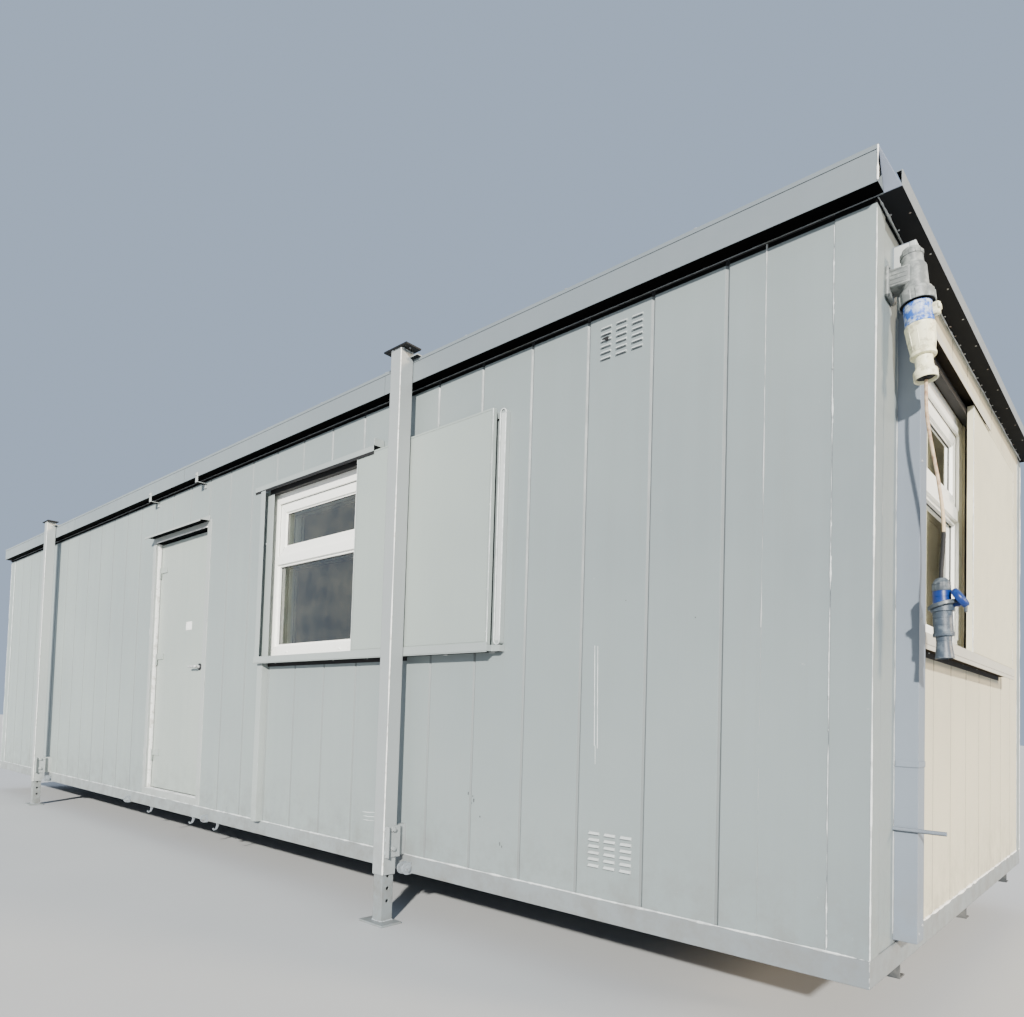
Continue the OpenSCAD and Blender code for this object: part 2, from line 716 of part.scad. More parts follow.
// Power inlet: flange on the wall, angled body and collar
inlet_w = 150;
inlet_tilt = 6;
inlet_up = 2213;
inlet_z = ground_gap + inlet_up;
inlet_x = x_near + 82;
module along_inlet() {
    translate([inlet_x, y_front + inlet_w, inlet_z]) rotate([0, 180 - inlet_tilt, 0]) children();
}

module power_inlet() {
    color("gray") {
        on_near() block([inlet_w - 52, -10, inlet_z + 23], [inlet_w + 38, wall_set, inlet_z + 127]);
        on_near() block([inlet_w - 42, -70, inlet_z + 49], [inlet_w + 32, -10, inlet_z + 113]);
        along_inlet() {
            translate([0, 0, -178]) cylinder(h = 60, r1 = 27, r2 = 32, $fn = 48);
            translate([0, 0, -164]) cylinder(h = 14, r = 34, $fn = 12);
            translate([0, 0, -120]) cylinder(h = 120, r = 40, $fn = 48);
            translate([0, 0, -18]) cylinder(h = 34, r = 55, $fn = 64);
            translate([0, 0, -30]) cylinder(h = 12, r = 48, $fn = 64);
        }
    }
}

// Coupler that hangs in the inlet, with a blue collar, a tapering grip and a bell mouth
module coupler() {
    color("wheat") along_inlet() {
        translate([0, 0, 16]) cylinder(h = 74, r = 43, $fn = 48);
        translate([-62, -9, 31]) cube([22, 18, 42]);
        translate([-66, -14, 36]) cube([8, 28, 22]);
        translate([0, 0, 90]) cylinder(h = 96, r1 = 46, r2 = 36, $fn = 48);
        translate([0, 0, 186]) cylinder(h = 10, r = 39, $fn = 48);
        translate([0, 0, 196]) cylinder(h = 42, r = 27, $fn = 48);
        translate([0, 0, 238]) cylinder(h = 10, r1 = 27, r2 = 36, $fn = 48);
        translate([0, 0, 248]) cylinder(h = 26, r = 36, $fn = 48);
    }
}

// Lead that hangs from the coupler to the connector in the line: points from the near face, the front wall and the rail
lead_r = 5.3;
route = [[110.6, 150, 1939.9], [112, 150, 1850], [118, 151, 1782], [130, 152, 1703], [143, 153, 1624], [151, 154, 1566],
    [158, 155, 1508], [162, 155, 1439], [160, 155, 1380], [156.4, 155, 1330], [155, 155, 1288]];
function catmull(p, t) = let (i = min(floor(t), len(p) - 2), u = t - i, a = p[max(i - 1, 0)], b = p[i], c = p[i + 1], d = p[min(i + 2, len(p) - 1)])
    0.5 * (2 * b + (c - a) * u + (2 * a - 5 * b + 4 * c - d) * u * u + (3 * b - a - 3 * c + d) * u * u * u);
rings = 28;
sides = 10;
spine = [for (k = [0 : rings]) catmull(route, k * (len(route) - 1) / rings)];
module hanging_lead() {
    points = [for (p = spine, j = [0 : sides - 1]) [x_near + p[0] + lead_r * cos(j * 360 / sides), y_front + p[1] + lead_r * sin(j * 360 / sides), ground_gap + p[2]]];
    walls = [for (k = [0 : rings - 1], j = [0 : sides - 1]) let (n = (j + 1) % sides)
        [k * sides + j, k * sides + n, (k + 1) * sides + n, (k + 1) * sides + j]];
    color("dimgray") polyhedron(points, concat([[for (j = [sides - 1 : -1 : 0]) j]], walls, [[for (j = [0 : sides - 1]) rings * sides + j]]));
}

// In-line connector: gland, blue socket with its open lid, grey plug and cable sleeve
module line_connector() {
    lean = 2.7;
    color("steelblue") translate([x_near + 155, y_front + 155, ground_gap + 1288]) {
        translate([0, 0, -6]) cylinder(h = 6, r = 15, $fn = 32);
        rotate([0, -lean, 0]) {
            translate([0, 0, -16]) cylinder(h = 13, r1 = 26, r2 = 18, $fn = 40);
            translate([0, 0, -42]) cylinder(h = 27, r = 27, $fn = 12);
            translate([0, 0, -84]) cylinder(h = 43, r = 26, $fn = 40);
            translate([0, 0, -92]) rotate([0, -12, 0]) cylinder(h = 14, r = 43, $fn = 48);
            translate([0, 0, -108]) cylinder(h = 24, r = 33, $fn = 48);
            translate([0, 0, -176]) cylinder(h = 70, r = 28, $fn = 40);
            translate([0, 0, -186]) cylinder(h = 12, r = 30, $fn = 40);
            translate([0, 0, -216]) cylinder(h = 32, r = 22, $fn = 40);
            translate([0, 0, -256]) cylinder(h = 41, r1 = 27, r2 = 22, $fn = 40);
        }
        translate([53, 0, -66]) rotate([0, 56, 0]) translate([0, 0, -11]) cylinder(h = 22, r = 34, $fn = 40);
        translate([32, -10, -94]) cube([24, 20, 24]);
        translate([60, -5, -114]) cube([15, 10, 26]);
    }
}

base_rail();
floor_joists();
floor_board();
floor_bearers();
corner_posts();
wall_front_far();
wall_front_over_door();
wall_front_mid();
wall_front_under_window();
wall_front_over_window();
wall_front_near();
wall_rear();
wall_far_end();
wall_near_left();
wall_near_under_window();
wall_near_over_window();
wall_near_right();
lining_front();
lining_rear();
lining_ends();
roof_deck();
ceiling();
roof_sheet();
fascias();
gutters();
gutter_end_plates();
leg_posts();
leg_feet();
leg_caps();
leg_brackets();
door_frame();
door_leaf();
door_handle();
door_sign();
door_drip();
hinge_pins();
hinge_straps();
window_frame();
window_sash();
window_glass();
end_window_frame();
end_window_sash();
end_window_glass();
shutter_front();
shutter_tracks_front();
shutter_end();
shutter_tracks_end();
vents();
lashing_eyes();
cable_duct();
power_inlet();
coupler();
hanging_lead();
line_connector();
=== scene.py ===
import math

import bmesh
import bpy
import numpy as np
from mathutils import Matrix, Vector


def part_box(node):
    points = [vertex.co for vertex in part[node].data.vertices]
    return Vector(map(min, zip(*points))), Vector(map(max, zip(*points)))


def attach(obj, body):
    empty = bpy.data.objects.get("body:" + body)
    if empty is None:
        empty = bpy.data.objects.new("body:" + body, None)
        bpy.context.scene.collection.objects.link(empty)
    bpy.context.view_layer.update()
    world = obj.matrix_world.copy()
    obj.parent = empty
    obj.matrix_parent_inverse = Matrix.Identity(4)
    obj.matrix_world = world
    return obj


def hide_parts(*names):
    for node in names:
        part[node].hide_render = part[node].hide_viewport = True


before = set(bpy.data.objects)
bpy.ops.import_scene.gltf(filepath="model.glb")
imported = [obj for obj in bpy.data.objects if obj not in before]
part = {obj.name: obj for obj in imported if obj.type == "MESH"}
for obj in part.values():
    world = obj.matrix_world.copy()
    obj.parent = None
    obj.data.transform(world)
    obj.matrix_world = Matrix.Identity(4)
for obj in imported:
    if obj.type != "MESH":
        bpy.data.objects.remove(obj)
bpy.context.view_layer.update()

# CAMERA
# A phone held at chest height, 2.5 m in front of the near front corner, with its wide lens tipped
# slightly up. Place, turn and lens are solved from the cabin's own edges.
rail_low, rail_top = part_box("base_rail")
near_x, front_y, rail_z, wall_z = rail_top.x, rail_low.y, rail_low.z, rail_top.z
far_x, rear_y = rail_low.x, rail_top.y
yaw, pitch, roll = (math.radians(a) for a in (-42.30964, 2.29966, 1.71627))
ahead = np.array([math.sin(yaw) * math.cos(pitch), math.cos(yaw) * math.cos(pitch), math.sin(pitch)])
level = np.array([math.cos(yaw), -math.sin(yaw), 0.0])
upright = np.cross(level, ahead)
right = level * math.cos(roll) + upright * math.sin(roll)
up = upright * math.cos(roll) - level * math.sin(roll)
eye = np.array([near_x + 0.68633, front_y - 2.46403, rail_z + 0.81217])
lens = bpy.data.cameras.new("camera")
lens.lens, lens.sensor_width, lens.sensor_fit = 25.653, 36, "HORIZONTAL"
lens.shift_x, lens.shift_y = 0.00674, 0.17372
lens.clip_start, lens.clip_end = 0.05, 200
camera = bpy.data.objects.new("camera", lens)
bpy.context.scene.collection.objects.link(camera)
placed = np.eye(4)
placed[:3, 0], placed[:3, 1], placed[:3, 2], placed[:3, 3] = right, up, -ahead, eye
camera.matrix_world = Matrix(placed.tolist())
bpy.context.scene.camera = camera

# HANGING LEAD
# A rubber-sheathed power lead, 10.6 mm thick, that drops from the coupler's bell mouth to the connector. Sun
# has bleached it to beige, a black heat-shrink sleeve 13 mm thick covers its lower 150 mm, and its last 114
# mm run inside the connector to the terminals.
route = np.array([[110.6, 150, 1939.9], [112, 150, 1850], [118, 151, 1782], [130, 152, 1703],
                  [143, 153, 1624], [151, 154, 1566], [158, 155, 1508], [162, 155, 1439], [160, 155, 1380],
                  [156.4, 155, 1330], [155, 155, 1288]]) / 1000 + (near_x, front_y, rail_z)


def smooth_line(points, count):
    """Catmull-Rom curve through the points: P(t) = (2b + (c-a)u + (2a-5b+4c-d)u^2 + (3b-a-3c+d)u^3) / 2."""
    points = np.asarray(points, float)
    t = np.linspace(0, len(points) - 1, count)
    i = np.minimum(t.astype(int), len(points) - 2)
    u = (t - i)[:, None]
    a, b, c, d = (points[np.clip(i + k, 0, len(points) - 1)] for k in (-1, 0, 1, 2))
    return (2 * b + (c - a) * u + (2 * a - 5 * b + 4 * c - d) * u ** 2 + (3 * b - a - 3 * c + d) * u ** 3) / 2


def tube(line, radius, count=12):
    """Round skin of a path: P(k, t) = line(k) + radius(k) (cos t side + sin t across), side level with the
    ground."""
    line = np.asarray(line, float)
    run = np.gradient(line, axis=0)
    run /= np.linalg.norm(run, axis=1)[:, None]
    hint = np.where(np.abs(run[:, 2:3]) > 0.8, [[0.0, 1.0, 0.0]], [[0.0, 0.0, 1.0]])
    side = np.cross(run, hint)
    side /= np.linalg.norm(side, axis=1)[:, None]
    across = np.cross(run, side)
    t = np.linspace(0, 2 * np.pi, count, endpoint=False)[None, :, None]
    radius = np.asarray(radius, float).reshape(-1, 1, 1)
    return line[:, None] + radius * (np.cos(t) * side[:, None] + np.sin(t) * across[:, None])


def piece(name, skins, finish, body="cabin", smooth=True):
    """One object from grids of points P(k, j): four neighbours make a face, the last column joins the first,
    and the first and last rows are closed by a face. A flat sheet is given as (grid, "open"), a closed ring
    of rows as (grid, "ring")."""
    points, faces, start = [], [], 0
    for skin in skins:
        grid, kind = skin if isinstance(skin, tuple) else (skin, "closed")
        rows, columns = grid.shape[:2]
        index = start + np.arange(rows * columns).reshape(rows, columns)
        if kind == "ring":
            index = np.concatenate([index, index[:1]])
        beside = index[:, 1:] if kind == "open" else np.roll(index, -1, axis=1)
        here = index[:, :-1] if kind == "open" else index
        cells = np.stack([here[:-1], beside[:-1], beside[1:], here[1:]], axis=-1)
        faces += cells.reshape(-1, 4).tolist()
        if kind == "closed":
            faces += [index[0, ::-1].tolist(), index[-1].tolist()]
        points.append(grid.reshape(-1, 3))
        start += rows * columns
    mesh = bpy.data.meshes.new(name)
    mesh.from_pydata(np.concatenate(points).tolist(), [], faces)
    mesh.validate()
    made = bpy.data.objects.new(name, mesh)
    bpy.context.scene.collection.objects.link(made)
    bm = bmesh.new()
    bm.from_mesh(mesh)
    bmesh.ops.remove_doubles(bm, verts=bm.verts, dist=1e-6)
    bmesh.ops.dissolve_degenerate(bm, dist=1e-7, edges=bm.edges)
    if not any(isinstance(skin, tuple) and skin[1] == "open" for skin in skins):
        bmesh.ops.recalc_face_normals(bm, faces=bm.faces)
    bm.to_mesh(mesh)
    bm.free()
    if smooth:
        mesh.shade_smooth()
        mesh.set_sharp_from_angle(angle=math.radians(38))
    mesh.materials.append(finish)
    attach(made, body)
    return made


def rgb(code):
    """Linear colour of an sRGB hex value."""
    v = np.array([int(code[i:i + 2], 16) for i in (1, 3, 5)]) / 255
    return (*np.where(v <= 0.04045, v / 12.92, ((v + 0.055) / 1.055) ** 2.4).tolist(), 1.0)


def node(material, kind, sockets=None, **settings):
    """Adds a shader node with its settings. A socket takes a value, or a link where it is given an output or
    a node, which links by its first output in use."""
    made = material.node_tree.nodes.new("ShaderNode" + kind)
    for key, value in settings.items():
        setattr(made, key, value)
    for key, value in (sockets or {}).items():
        if isinstance(value, bpy.types.Node):
            value = next(output for output in value.outputs if output.enabled)
        if isinstance(value, bpy.types.NodeSocket):
            material.node_tree.links.new(value, made.inputs[key])
        else:
            made.inputs[key].default_value = value
    return made


def blank(name):
    """An empty material, and the object's own coordinates in metres."""
    material = bpy.data.materials.new(name)
    material.use_nodes = True
    material.node_tree.nodes.clear()
    return material, node(material, "TexCoord").outputs["Object"]


def downward(lean):
    """Unit vector that points down and leans out from the end wall, by an angle in degrees."""
    return np.array([math.sin(math.radians(lean)), 0.0, -math.cos(math.radians(lean))])


# Rubber sheath: matt, marked every 8 mm by the lay of its cores, bleached to a clear beige low down and
# stained browner in patches above.
sheath, place = blank("lead_sheath_rubber")
height = node(sheath, "SeparateXYZ", {0: place}).outputs[2]
grime = node(sheath, "TexNoise", {"Vector": place, "Scale": 55, "Detail": 5})
grime = node(sheath, "MapRange", {0: grime, 1: 0.4, 2: 0.7})
beige = node(sheath, "Mix", {0: grime, 6: rgb("#BFA98B"), 7: rgb("#8E6C52")}, data_type="RGBA")
above = node(sheath, "MapRange", {0: height, 1: rail_z + 1.42, 2: rail_z + 1.60})
colour = node(sheath, "Mix", {0: above, 6: rgb("#CDB68F"), 7: beige}, data_type="RGBA")
lay = node(sheath, "TexWave", {"Vector": place, "Scale": 40, "Distortion": 2.0},
           bands_direction="Z").outputs[1]
relief = node(sheath, "Bump", {"Height": lay, "Distance": 0.0002, "Strength": 0.5})
skin = node(sheath, "BsdfPrincipled", {"Base Color": colour, "Roughness": 0.62, "Normal": relief})
node(sheath, "OutputMaterial", {0: skin})
line = smooth_line(route, 130)
join_lean, lead_thick = 2.7, 0.0106
line = np.concatenate([line, line[-1] + np.linspace(0.006, 0.114, 19)[:, None] * downward(join_lean)])
lead = piece("hanging_lead_sheath", [tube(line, lead_thick / 2, 16)], sheath)
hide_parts("hanging_lead")
sleeved = line[(line[:, 2] < rail_z + 1.440) & (line[:, 2] > rail_z + 1.280)]
sleeve_radius = np.full(len(sleeved), 0.0065)
sleeve_radius[:2] = 0.0057, 0.0062

# COUPLER
# The plug that hangs in the cabin's inlet: a moulded cream grip with a blue locking collar, chalked pale in
# patches, a latch on its outer side, and a bell mouth where the lead leaves.
inlet_at = np.array([near_x + 0.082, front_y + 0.150, rail_z + 2.213])
lean = math.radians(6)
inlet_run = downward(6)


def turned(profile, at, run, count=48):
    """Lathe form of a profile of (height h, radius r) along the direction run from a point:
    P(k, t) = at + h(k) run + r(k) (cos t side + sin t across)."""
    run = np.asarray(run, float) / np.linalg.norm(run)
    side = np.cross(run, [0.0, 1.0, 0.0] if abs(run[1]) < 0.9 else [1.0, 0.0, 0.0])
    side /= np.linalg.norm(side)
    across = np.cross(run, side)
    h, r = np.asarray(profile, float).T[:, :, None, None]
    t = np.linspace(0, 2 * np.pi, count, endpoint=False)[None, :, None]
    return np.asarray(at) + h * run + r * (np.cos(t) * side + np.sin(t) * across)


def slab(low, high, edge=0.001):
    """Block with rounded upright edges and chamfered ends: a rounded-rectangle loop, drawn in by edge at both
    ends."""
    low, high = np.minimum(low, high), np.maximum(low, high)
    centre, half = (low + high) / 2, (high - low) / 2
    a = np.radians(np.array([0, 45, 90, 90, 135, 180, 180, 225, 270, 270, 315, 360]))
    corner = np.repeat([[1, 1], [-1, 1], [-1, -1], [1, -1]], 3, axis=0)
    loops = []
    for z, pull in ((-1, edge), (-1, 0), (1, 0), (1, edge)):
        xy = corner * (half[:2] - edge) + (edge - pull) * np.stack([np.cos(a), np.sin(a)], 1)
        level_z = z * (half[2] - (edge if pull == 0 else 0))
        loops.append(np.column_stack([xy, np.full(12, level_z)]) + centre)
    return np.stack(loops)


def tilt(angle):
    """Turn about the Y axis that leans an upright outwards, away from the end wall."""
    c, s = math.cos(angle), math.sin(angle)
    return np.array([[c, 0, s], [0, 1, 0], [-s, 0, c]])


def weathered(name, tone, worn, rough=0.45, patch=30, amount=0.5):
    """Moulded plastic, rubber, mastic or dulled metal left outdoors: satin, with chalky or worn patches 1 /
    patch metres wide, amount of them from 0 to 1, and a fine 1 mm cast texture."""
    stuff, place = blank(name)
    wide = node(stuff, "TexNoise", {"Vector": place, "Scale": patch, "Detail": 8, "Roughness": 0.62})
    faded = node(stuff, "MapRange", {0: wide, 1: 0.60 - 0.2 * amount, 2: 0.66 - 0.1 * amount})
    colour = node(stuff, "Mix", {0: faded, 6: rgb(tone), 7: rgb(worn)}, data_type="RGBA")
    fine = node(stuff, "TexNoise", {"Vector": place, "Scale": 900, "Detail": 2})
    relief = node(stuff, "Bump", {"Height": fine, "Distance": 0.0002, "Strength": 0.4})
    dull = node(stuff, "MapRange", {0: wide, 3: rough - 0.08, 4: rough + 0.15})
    face = node(stuff, "BsdfPrincipled", {"Base Color": colour, "Roughness": dull,
                                          "Normal": relief, "IOR": 1.5})
    node(stuff, "OutputMaterial", {0: face})
    return stuff


cream = weathered("aged_cream_polyamide", "#F3EFCB", "#C4BE9E", 0.4, 40)
worn_blue = weathered("worn_blue_polyamide", "#2E62BE", "#B4C2D6", 0.38, 48, 0.75)
# Black rubber for seals and sleeves; the same black also stands for painted shade in gaps, hollows and under
# hoods.
black_rubber_and_shade = weathered("black_rubber_and_painted_shade", "#0E0E10", "#1B1A1A", 0.7)
grip = np.array([(90.5, 42.5), (92, 45.5), (98, 46), (100, 45.2), (184, 36.5), (186, 35.5), (186.5, 38.5),
                 (188, 39), (194, 39), (195.5, 38.5), (196.5, 27.5), (212, 26.5), (226, 26.5), (238, 28.5),
                 (246, 35.2), (249, 36), (272, 36), (274, 35), (273.5, 32), (262, 30), (262, 6.5)]) / 1000
grip_skins = [turned(grip, inlet_at, inlet_run)]
for k in range(10):
    angle = k * math.pi / 5 + 0.3
    outward = np.array([math.cos(angle), math.sin(angle), 0.0])
    heights = np.linspace(0.108, 0.176, 12)
    cone = 0.0448 - (heights - 0.100) * 0.1036
    flute = inlet_at + heights[:, None] * inlet_run + cone[:, None] * (outward @ tilt(-lean).T)
    grip_skins.append(tube(flute, 0.0013 * np.sin(np.linspace(0.15, 3.0, 12)) + 0.0004, 8))
coupler = piece("coupler_grip", grip_skins, cream)
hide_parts("coupler")
collar = np.array([(16.5, 40.5), (18, 42.5), (30, 43), (31, 41.8), (33, 41.8), (34, 43), (78, 43), (80, 41.5),
                   (82, 41.5), (84, 43), (88, 43), (89.5, 41)]) / 1000
piece("coupler_collar", [turned(collar, inlet_at, inlet_run)], worn_blue)
latch = [slab(inlet_at + [0.0408, -0.009, -0.073], inlet_at + [0.062, 0.009, -0.031], 0.003),
         slab(inlet_at + [0.0585, -0.014, -0.058], inlet_at + [0.0655, 0.014, -0.0365], 0.003)]
latch = [(grid - inlet_at) @ tilt(-lean).T + inlet_at for grid in latch]
piece("coupler_latch", latch, cream)
bell_mouth = np.array([(260.5, 29.5), (263.5, 29), (264.5, 12), (270, 8), (271.5, 6.2), (262, 5.6)]) / 1000
piece("coupler_mouth_seal", [turned(bell_mouth, inlet_at, inlet_run)], black_rubber_and_shade)

# LINE CONNECTOR
# The in-line socket and plug that join the drop to the site supply: a grey cable gland, a blue socket with
# its round flip lid held open, a tilted flange, then the grey plug with its locking ring and sleeve.
join = np.array([near_x + 0.155, front_y + 0.155, rail_z + 1.288])
join_run = downward(join_lean)
# Painted shade: the blue socket and the slate plug are drawn darker than their mouldings are.
grey_pa = weathered("grey_polyamide", "#3E454B", "#5C6368", 0.38, 45)
dark_pa = weathered("slate_polyamide", "#3A444F", "#566069", 0.42, 45)
blue_pa = weathered("blue_polyamide", "#0B2C6C", "#194587", 0.33, 30, 0.3)
gland = np.array([(0, 6.8), (0.3, 14), (4, 17.5), (9, 21.5), (16, 25.5), (16.5, 27), (20, 27), (20.5, 26.2),
                  (24.5, 26.2), (25, 27), (40, 27), (41.5, 26.2)]) / 1000
gland_skin = turned(gland, join, join_run, 72)
facets = np.linspace(0, 2 * np.pi, 72, endpoint=False)
pull = 1 - 0.035 * np.abs(np.sin(6 * facets))[None, :, None]
centre_line = gland_skin.mean(axis=1, keepdims=True)
gland_skin[4:] = (centre_line + (gland_skin - centre_line) * pull)[4:]
flange = np.array([(0, 24), (1, 40), (2.5, 43), (12, 43), (13.5, 41.5), (13.7, 26)]) / 1000
tipped = join_run @ tilt(-0.209).T
flange_skin = turned(flange, join + join_run * 0.078 + tipped * 0.001, tipped)
joint_gland = piece("connector_gland_and_flange", [gland_skin, flange_skin], grey_pa)
body = np.array([(41.5, 24.5), (43, 25.8), (60, 26), (60.5, 25.2), (63, 25.2), (63.5, 26), (82, 26),
                 (83, 24)]) / 1000
joint_body = piece("connector_socket", [turned(body, join, join_run)], blue_pa)
plug = np.array([(84.5, 31), (86, 33), (107, 33), (107.5, 28.5), (110, 28), (128, 28), (128.5, 27.2),
                 (130.5, 27.2), (131, 28), (150, 28), (150.5, 27.2), (152.5, 27.2), (153, 28), (173, 28),
                 (174.5, 30), (184.5, 30), (186, 29.2), (186.5, 22.5), (200, 22), (200.5, 21.2),
                 (202.5, 21.2), (203, 22), (216, 22.5), (250, 26.5), (255.5, 27), (255.8, 24), (246, 22),
                 (246, 1)]) / 1000
joint_plug = piece("connector_plug", [turned(plug, join, join_run)], dark_pa)
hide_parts("line_connector")
lid_run = np.array([math.sin(math.radians(56)), 0.0, math.cos(math.radians(56))])
lid_at = join + [0.053, 0, -0.066]
lid = np.array([(-10.8, 28.5), (-10, 32.5), (-8, 34), (4, 34), (7.5, 32), (10, 27), (10.8, 20), (10.5, 10),
                (9.5, 0.8)]) / 1000
lid_hinge = [slab(join + [0.033, -0.0095, -0.0935], join + [0.0550, 0.0095, -0.0705], 0.003),
             tube(np.linspace(join + [0.048, -0.0098, -0.082], join + [0.048, 0.0098, -0.082], 4), 0.0045)]
joint_lid = piece("connector_lid", [turned(lid, lid_at, lid_run)] + lid_hinge, blue_pa)
well = np.array([(-10.9, 28.5), (-4, 27.5), (-3, 24), (-3, 0.8)]) / 1000
joint_well = piece("connector_lid_seal", [turned(well, lid_at, lid_run)], black_rubber_and_shade)
hook = slab(join + [0.0640, -0.0048, -0.1128], join + [0.0727, 0.0048, -0.0900], 0.002)
joint_latch = piece("connector_latch", [hook], grey_pa)
joint_sleeve = piece("connector_heat_shrink_sleeve", [tube(sleeved, sleeve_radius, 16)], black_rubber_and_shade)

# BASE RAIL
# Folded channel round the floor, painted with the walls. Its top edge stands 4 mm proud of the sheets, where
# paint has built up along the seam; road grit and scrapes mark the face.
def site_paint(name, tone="#838D8F", dust=1.0, scuffed=0.5, under=None, gloss=0.44, bare=9.0):
    """Thick brush- and roller-laid enamel on steel sheet. Patches 1.5 m wide fade at random, and the paint
    is drawn lighter towards the far end as a painted sheen; upright roller bands 60 mm wide differ a little,
    3 mm stipple and shallow dents catch the light, rain leaves faint upright streaks and ground splash greys
    the bottom 400 mm. Faces turned partly sideways, such as the flanks of the pressed lines, are darkened as
    painted shade, and folds are rounded to a 4 mm radius. A colour given for faces that look down paints
    shade on them, and above the height bare the sheet is painted near black as the shadow of the overhang;
    both lose their reflection."""
    paint, place = blank(name)
    x, y, z = node(paint, "SeparateXYZ", {0: place}).outputs
    fade = node(paint, "TexNoise", {"Vector": place, "Scale": 0.7, "Detail": 3})
    tall = node(paint, "Mapping", {0: place, 3: (16, 16, 0.55)})
    roller = node(paint, "TexNoise", {"Vector": tall, "Scale": 1.0, "Detail": 4, "Roughness": 0.55})
    base, darker = rgb(tone), [v * 0.81 for v in rgb(tone)]
    lighter = [min(1, v * gain) for v, gain in zip(base, (1.58, 1.54, 1.40, 1.0))]
    lighter[3] = darker[3] = 1.0
    # Painted sheen: the paint grows lighter towards the far end.
    along = node(paint, "MapRange", {0: x, 1: near_x, 2: far_x, 3: 0.0, 4: 0.85})
    faded = node(paint, "MapRange", {0: fade, 1: 0.35, 2: 0.65, 3: 0.0, 4: 0.2})
    faded = node(paint, "Math", {0: faded, 1: along})
    bands = node(paint, "MapRange", {0: roller, 1: 0.3, 2: 0.7, 3: 0.0, 4: 0.3})
    thin = node(paint, "Mapping", {0: place, 3: (70, 70, 1.3)})
    runs = node(paint, "TexNoise", {"Vector": thin, "Scale": 1.0, "Detail": 2})
    runs = node(paint, "MapRange", {0: runs, 1: 0.62, 2: 0.82, 3: 0.0, 4: 0.12 * dust})
    grit = node(paint, "TexNoise", {"Vector": place, "Scale": 9, "Detail": 9, "Roughness": 0.7})
    low = node(paint, "MapRange", {0: z, 1: rail_z - 0.02, 2: rail_z + 0.42, 3: 0.75 * dust, 4: 0.0})
    splash = node(paint, "MapRange", {0: grit, 1: 0.42, 2: 0.72})
    splash = node(paint, "Math", {0: splash, 1: low}, operation="MULTIPLY")
    marks = node(paint, "TexNoise", {"Vector": place, "Scale": 26, "Detail": 12, "Roughness": 0.72})
    chalk = node(paint, "MapRange", {0: marks, 1: 0.69, 2: 0.73, 3: 0.0, 4: scuffed})
    # Painted shadow: above the height bare the sheet turns near black, as the overhang's shadow.
    top_shadow = node(paint, "MapRange", {0: z, 1: bare, 2: bare + 0.003, 3: 0.0, 4: 0.99})
    # Painted shade: faces turned partly sideways, such as the flanks of the pressed lines, are darkened.
    faces_x, faces_y, facing = node(paint, "SeparateXYZ",
                                    {0: node(paint, "NewGeometry").outputs["Normal"]}).outputs
    flank_shade = node(paint, "Math", {0: faces_x, 1: faces_y}, operation="MULTIPLY")
    flank_shade = node(paint, "Math", {0: flank_shade}, operation="ABSOLUTE")
    flank_shade = node(paint, "MapRange", {0: flank_shade, 1: 0.1, 2: 0.4, 3: 0.0, 4: 0.46})
    layers = [(faded, lighter), (bands, base), (runs, rgb("#7C7B74")), (splash, rgb("#6E6D69")),
              (chalk, rgb("#C9CCCB")), (top_shadow, rgb("#0B0B0B")), (flank_shade, rgb("#3F4245"))]
    index = 1.5
    # Painted shade: faces that look down take a darker colour, and they and the top band lose their
    # reflection.
    if under:
        down = node(paint, "MapRange", {0: facing, 1: -0.5, 2: -0.9})
        layers.append((down, rgb(under)))
        shaded_faces = node(paint, "Math", {0: down, 1: top_shadow}, operation="MAXIMUM")
        index = node(paint, "MapRange", {0: shaded_faces, 3: 1.5, 4: 1.03})
    colour = darker
    for share, tint in layers:
        colour = node(paint, "Mix", {0: share, 6: colour, 7: tint}, data_type="RGBA")
    stipple = node(paint, "TexNoise", {"Vector": place, "Scale": 330, "Detail": 3})
    dents = node(paint, "TexNoise", {"Vector": place, "Scale": 2.3, "Detail": 1})
    rounded = node(paint, "Bevel", {"Radius": 0.004}, samples=4)
    broad = node(paint, "Bump", {"Height": dents, "Distance": 0.004, "Strength": 0.5, "Normal": rounded})
    laid = node(paint, "Bump", {"Height": roller, "Distance": 0.0006, "Strength": 0.4, "Normal": broad})
    relief = node(paint, "Bump", {"Height": stipple, "Distance": 0.00035, "Strength": 0.55, "Normal": laid})
    dull = node(paint, "MapRange", {0: grit, 1: 0.3, 2: 0.7, 3: gloss - 0.07, 4: gloss + 0.12})
    face = node(paint, "BsdfPrincipled", {"Base Color": colour, "Roughness": dull,
                                          "Normal": relief, "IOR": index})
    node(paint, "OutputMaterial", {0: face})
    return paint


def finish(names, material):
    """Gives carried-over CAD nodes their finish."""
    for name in names:
        part[name].data.materials.clear()
        part[name].data.materials.append(material)


def bead(start, end, radius, seed, step=0.012, wander=0.0012, swell=0.35):
    """Hand-laid fillet of paint, mastic or weld: a tube whose radius and line wander,
    r(k) = radius (1 + swell noise(k))."""
    start, end = np.asarray(start, float), np.asarray(end, float)
    count = max(4, int(np.linalg.norm(end - start) / step))
    rng = np.random.default_rng(seed)
    noise = np.convolve(rng.normal(size=count + 8), np.ones(5) / 2.2, "same")[4:-4]
    drift = np.convolve(rng.normal(size=count + 40), np.ones(21) / 9, "same")[20:-20]
    run = (end - start) / np.linalg.norm(end - start)
    side = np.cross(run, [0.0, 0.0, 1.0] if abs(run[2]) < 0.9 else [0.35, 0.94, 0.0])
    line = start + np.linspace(0, 1, count)[:, None] * (end - start) + wander * drift[:, None] * side
    return tube(line, radius * np.clip(1 + swell * noise, 0.35, 1.9), 6)


def upright_bead(x, y, low, high, radius, seed, **how):
    """Bead that stands upright between two heights."""
    return bead([x, y, low], [x, y, high], radius, seed, **how)
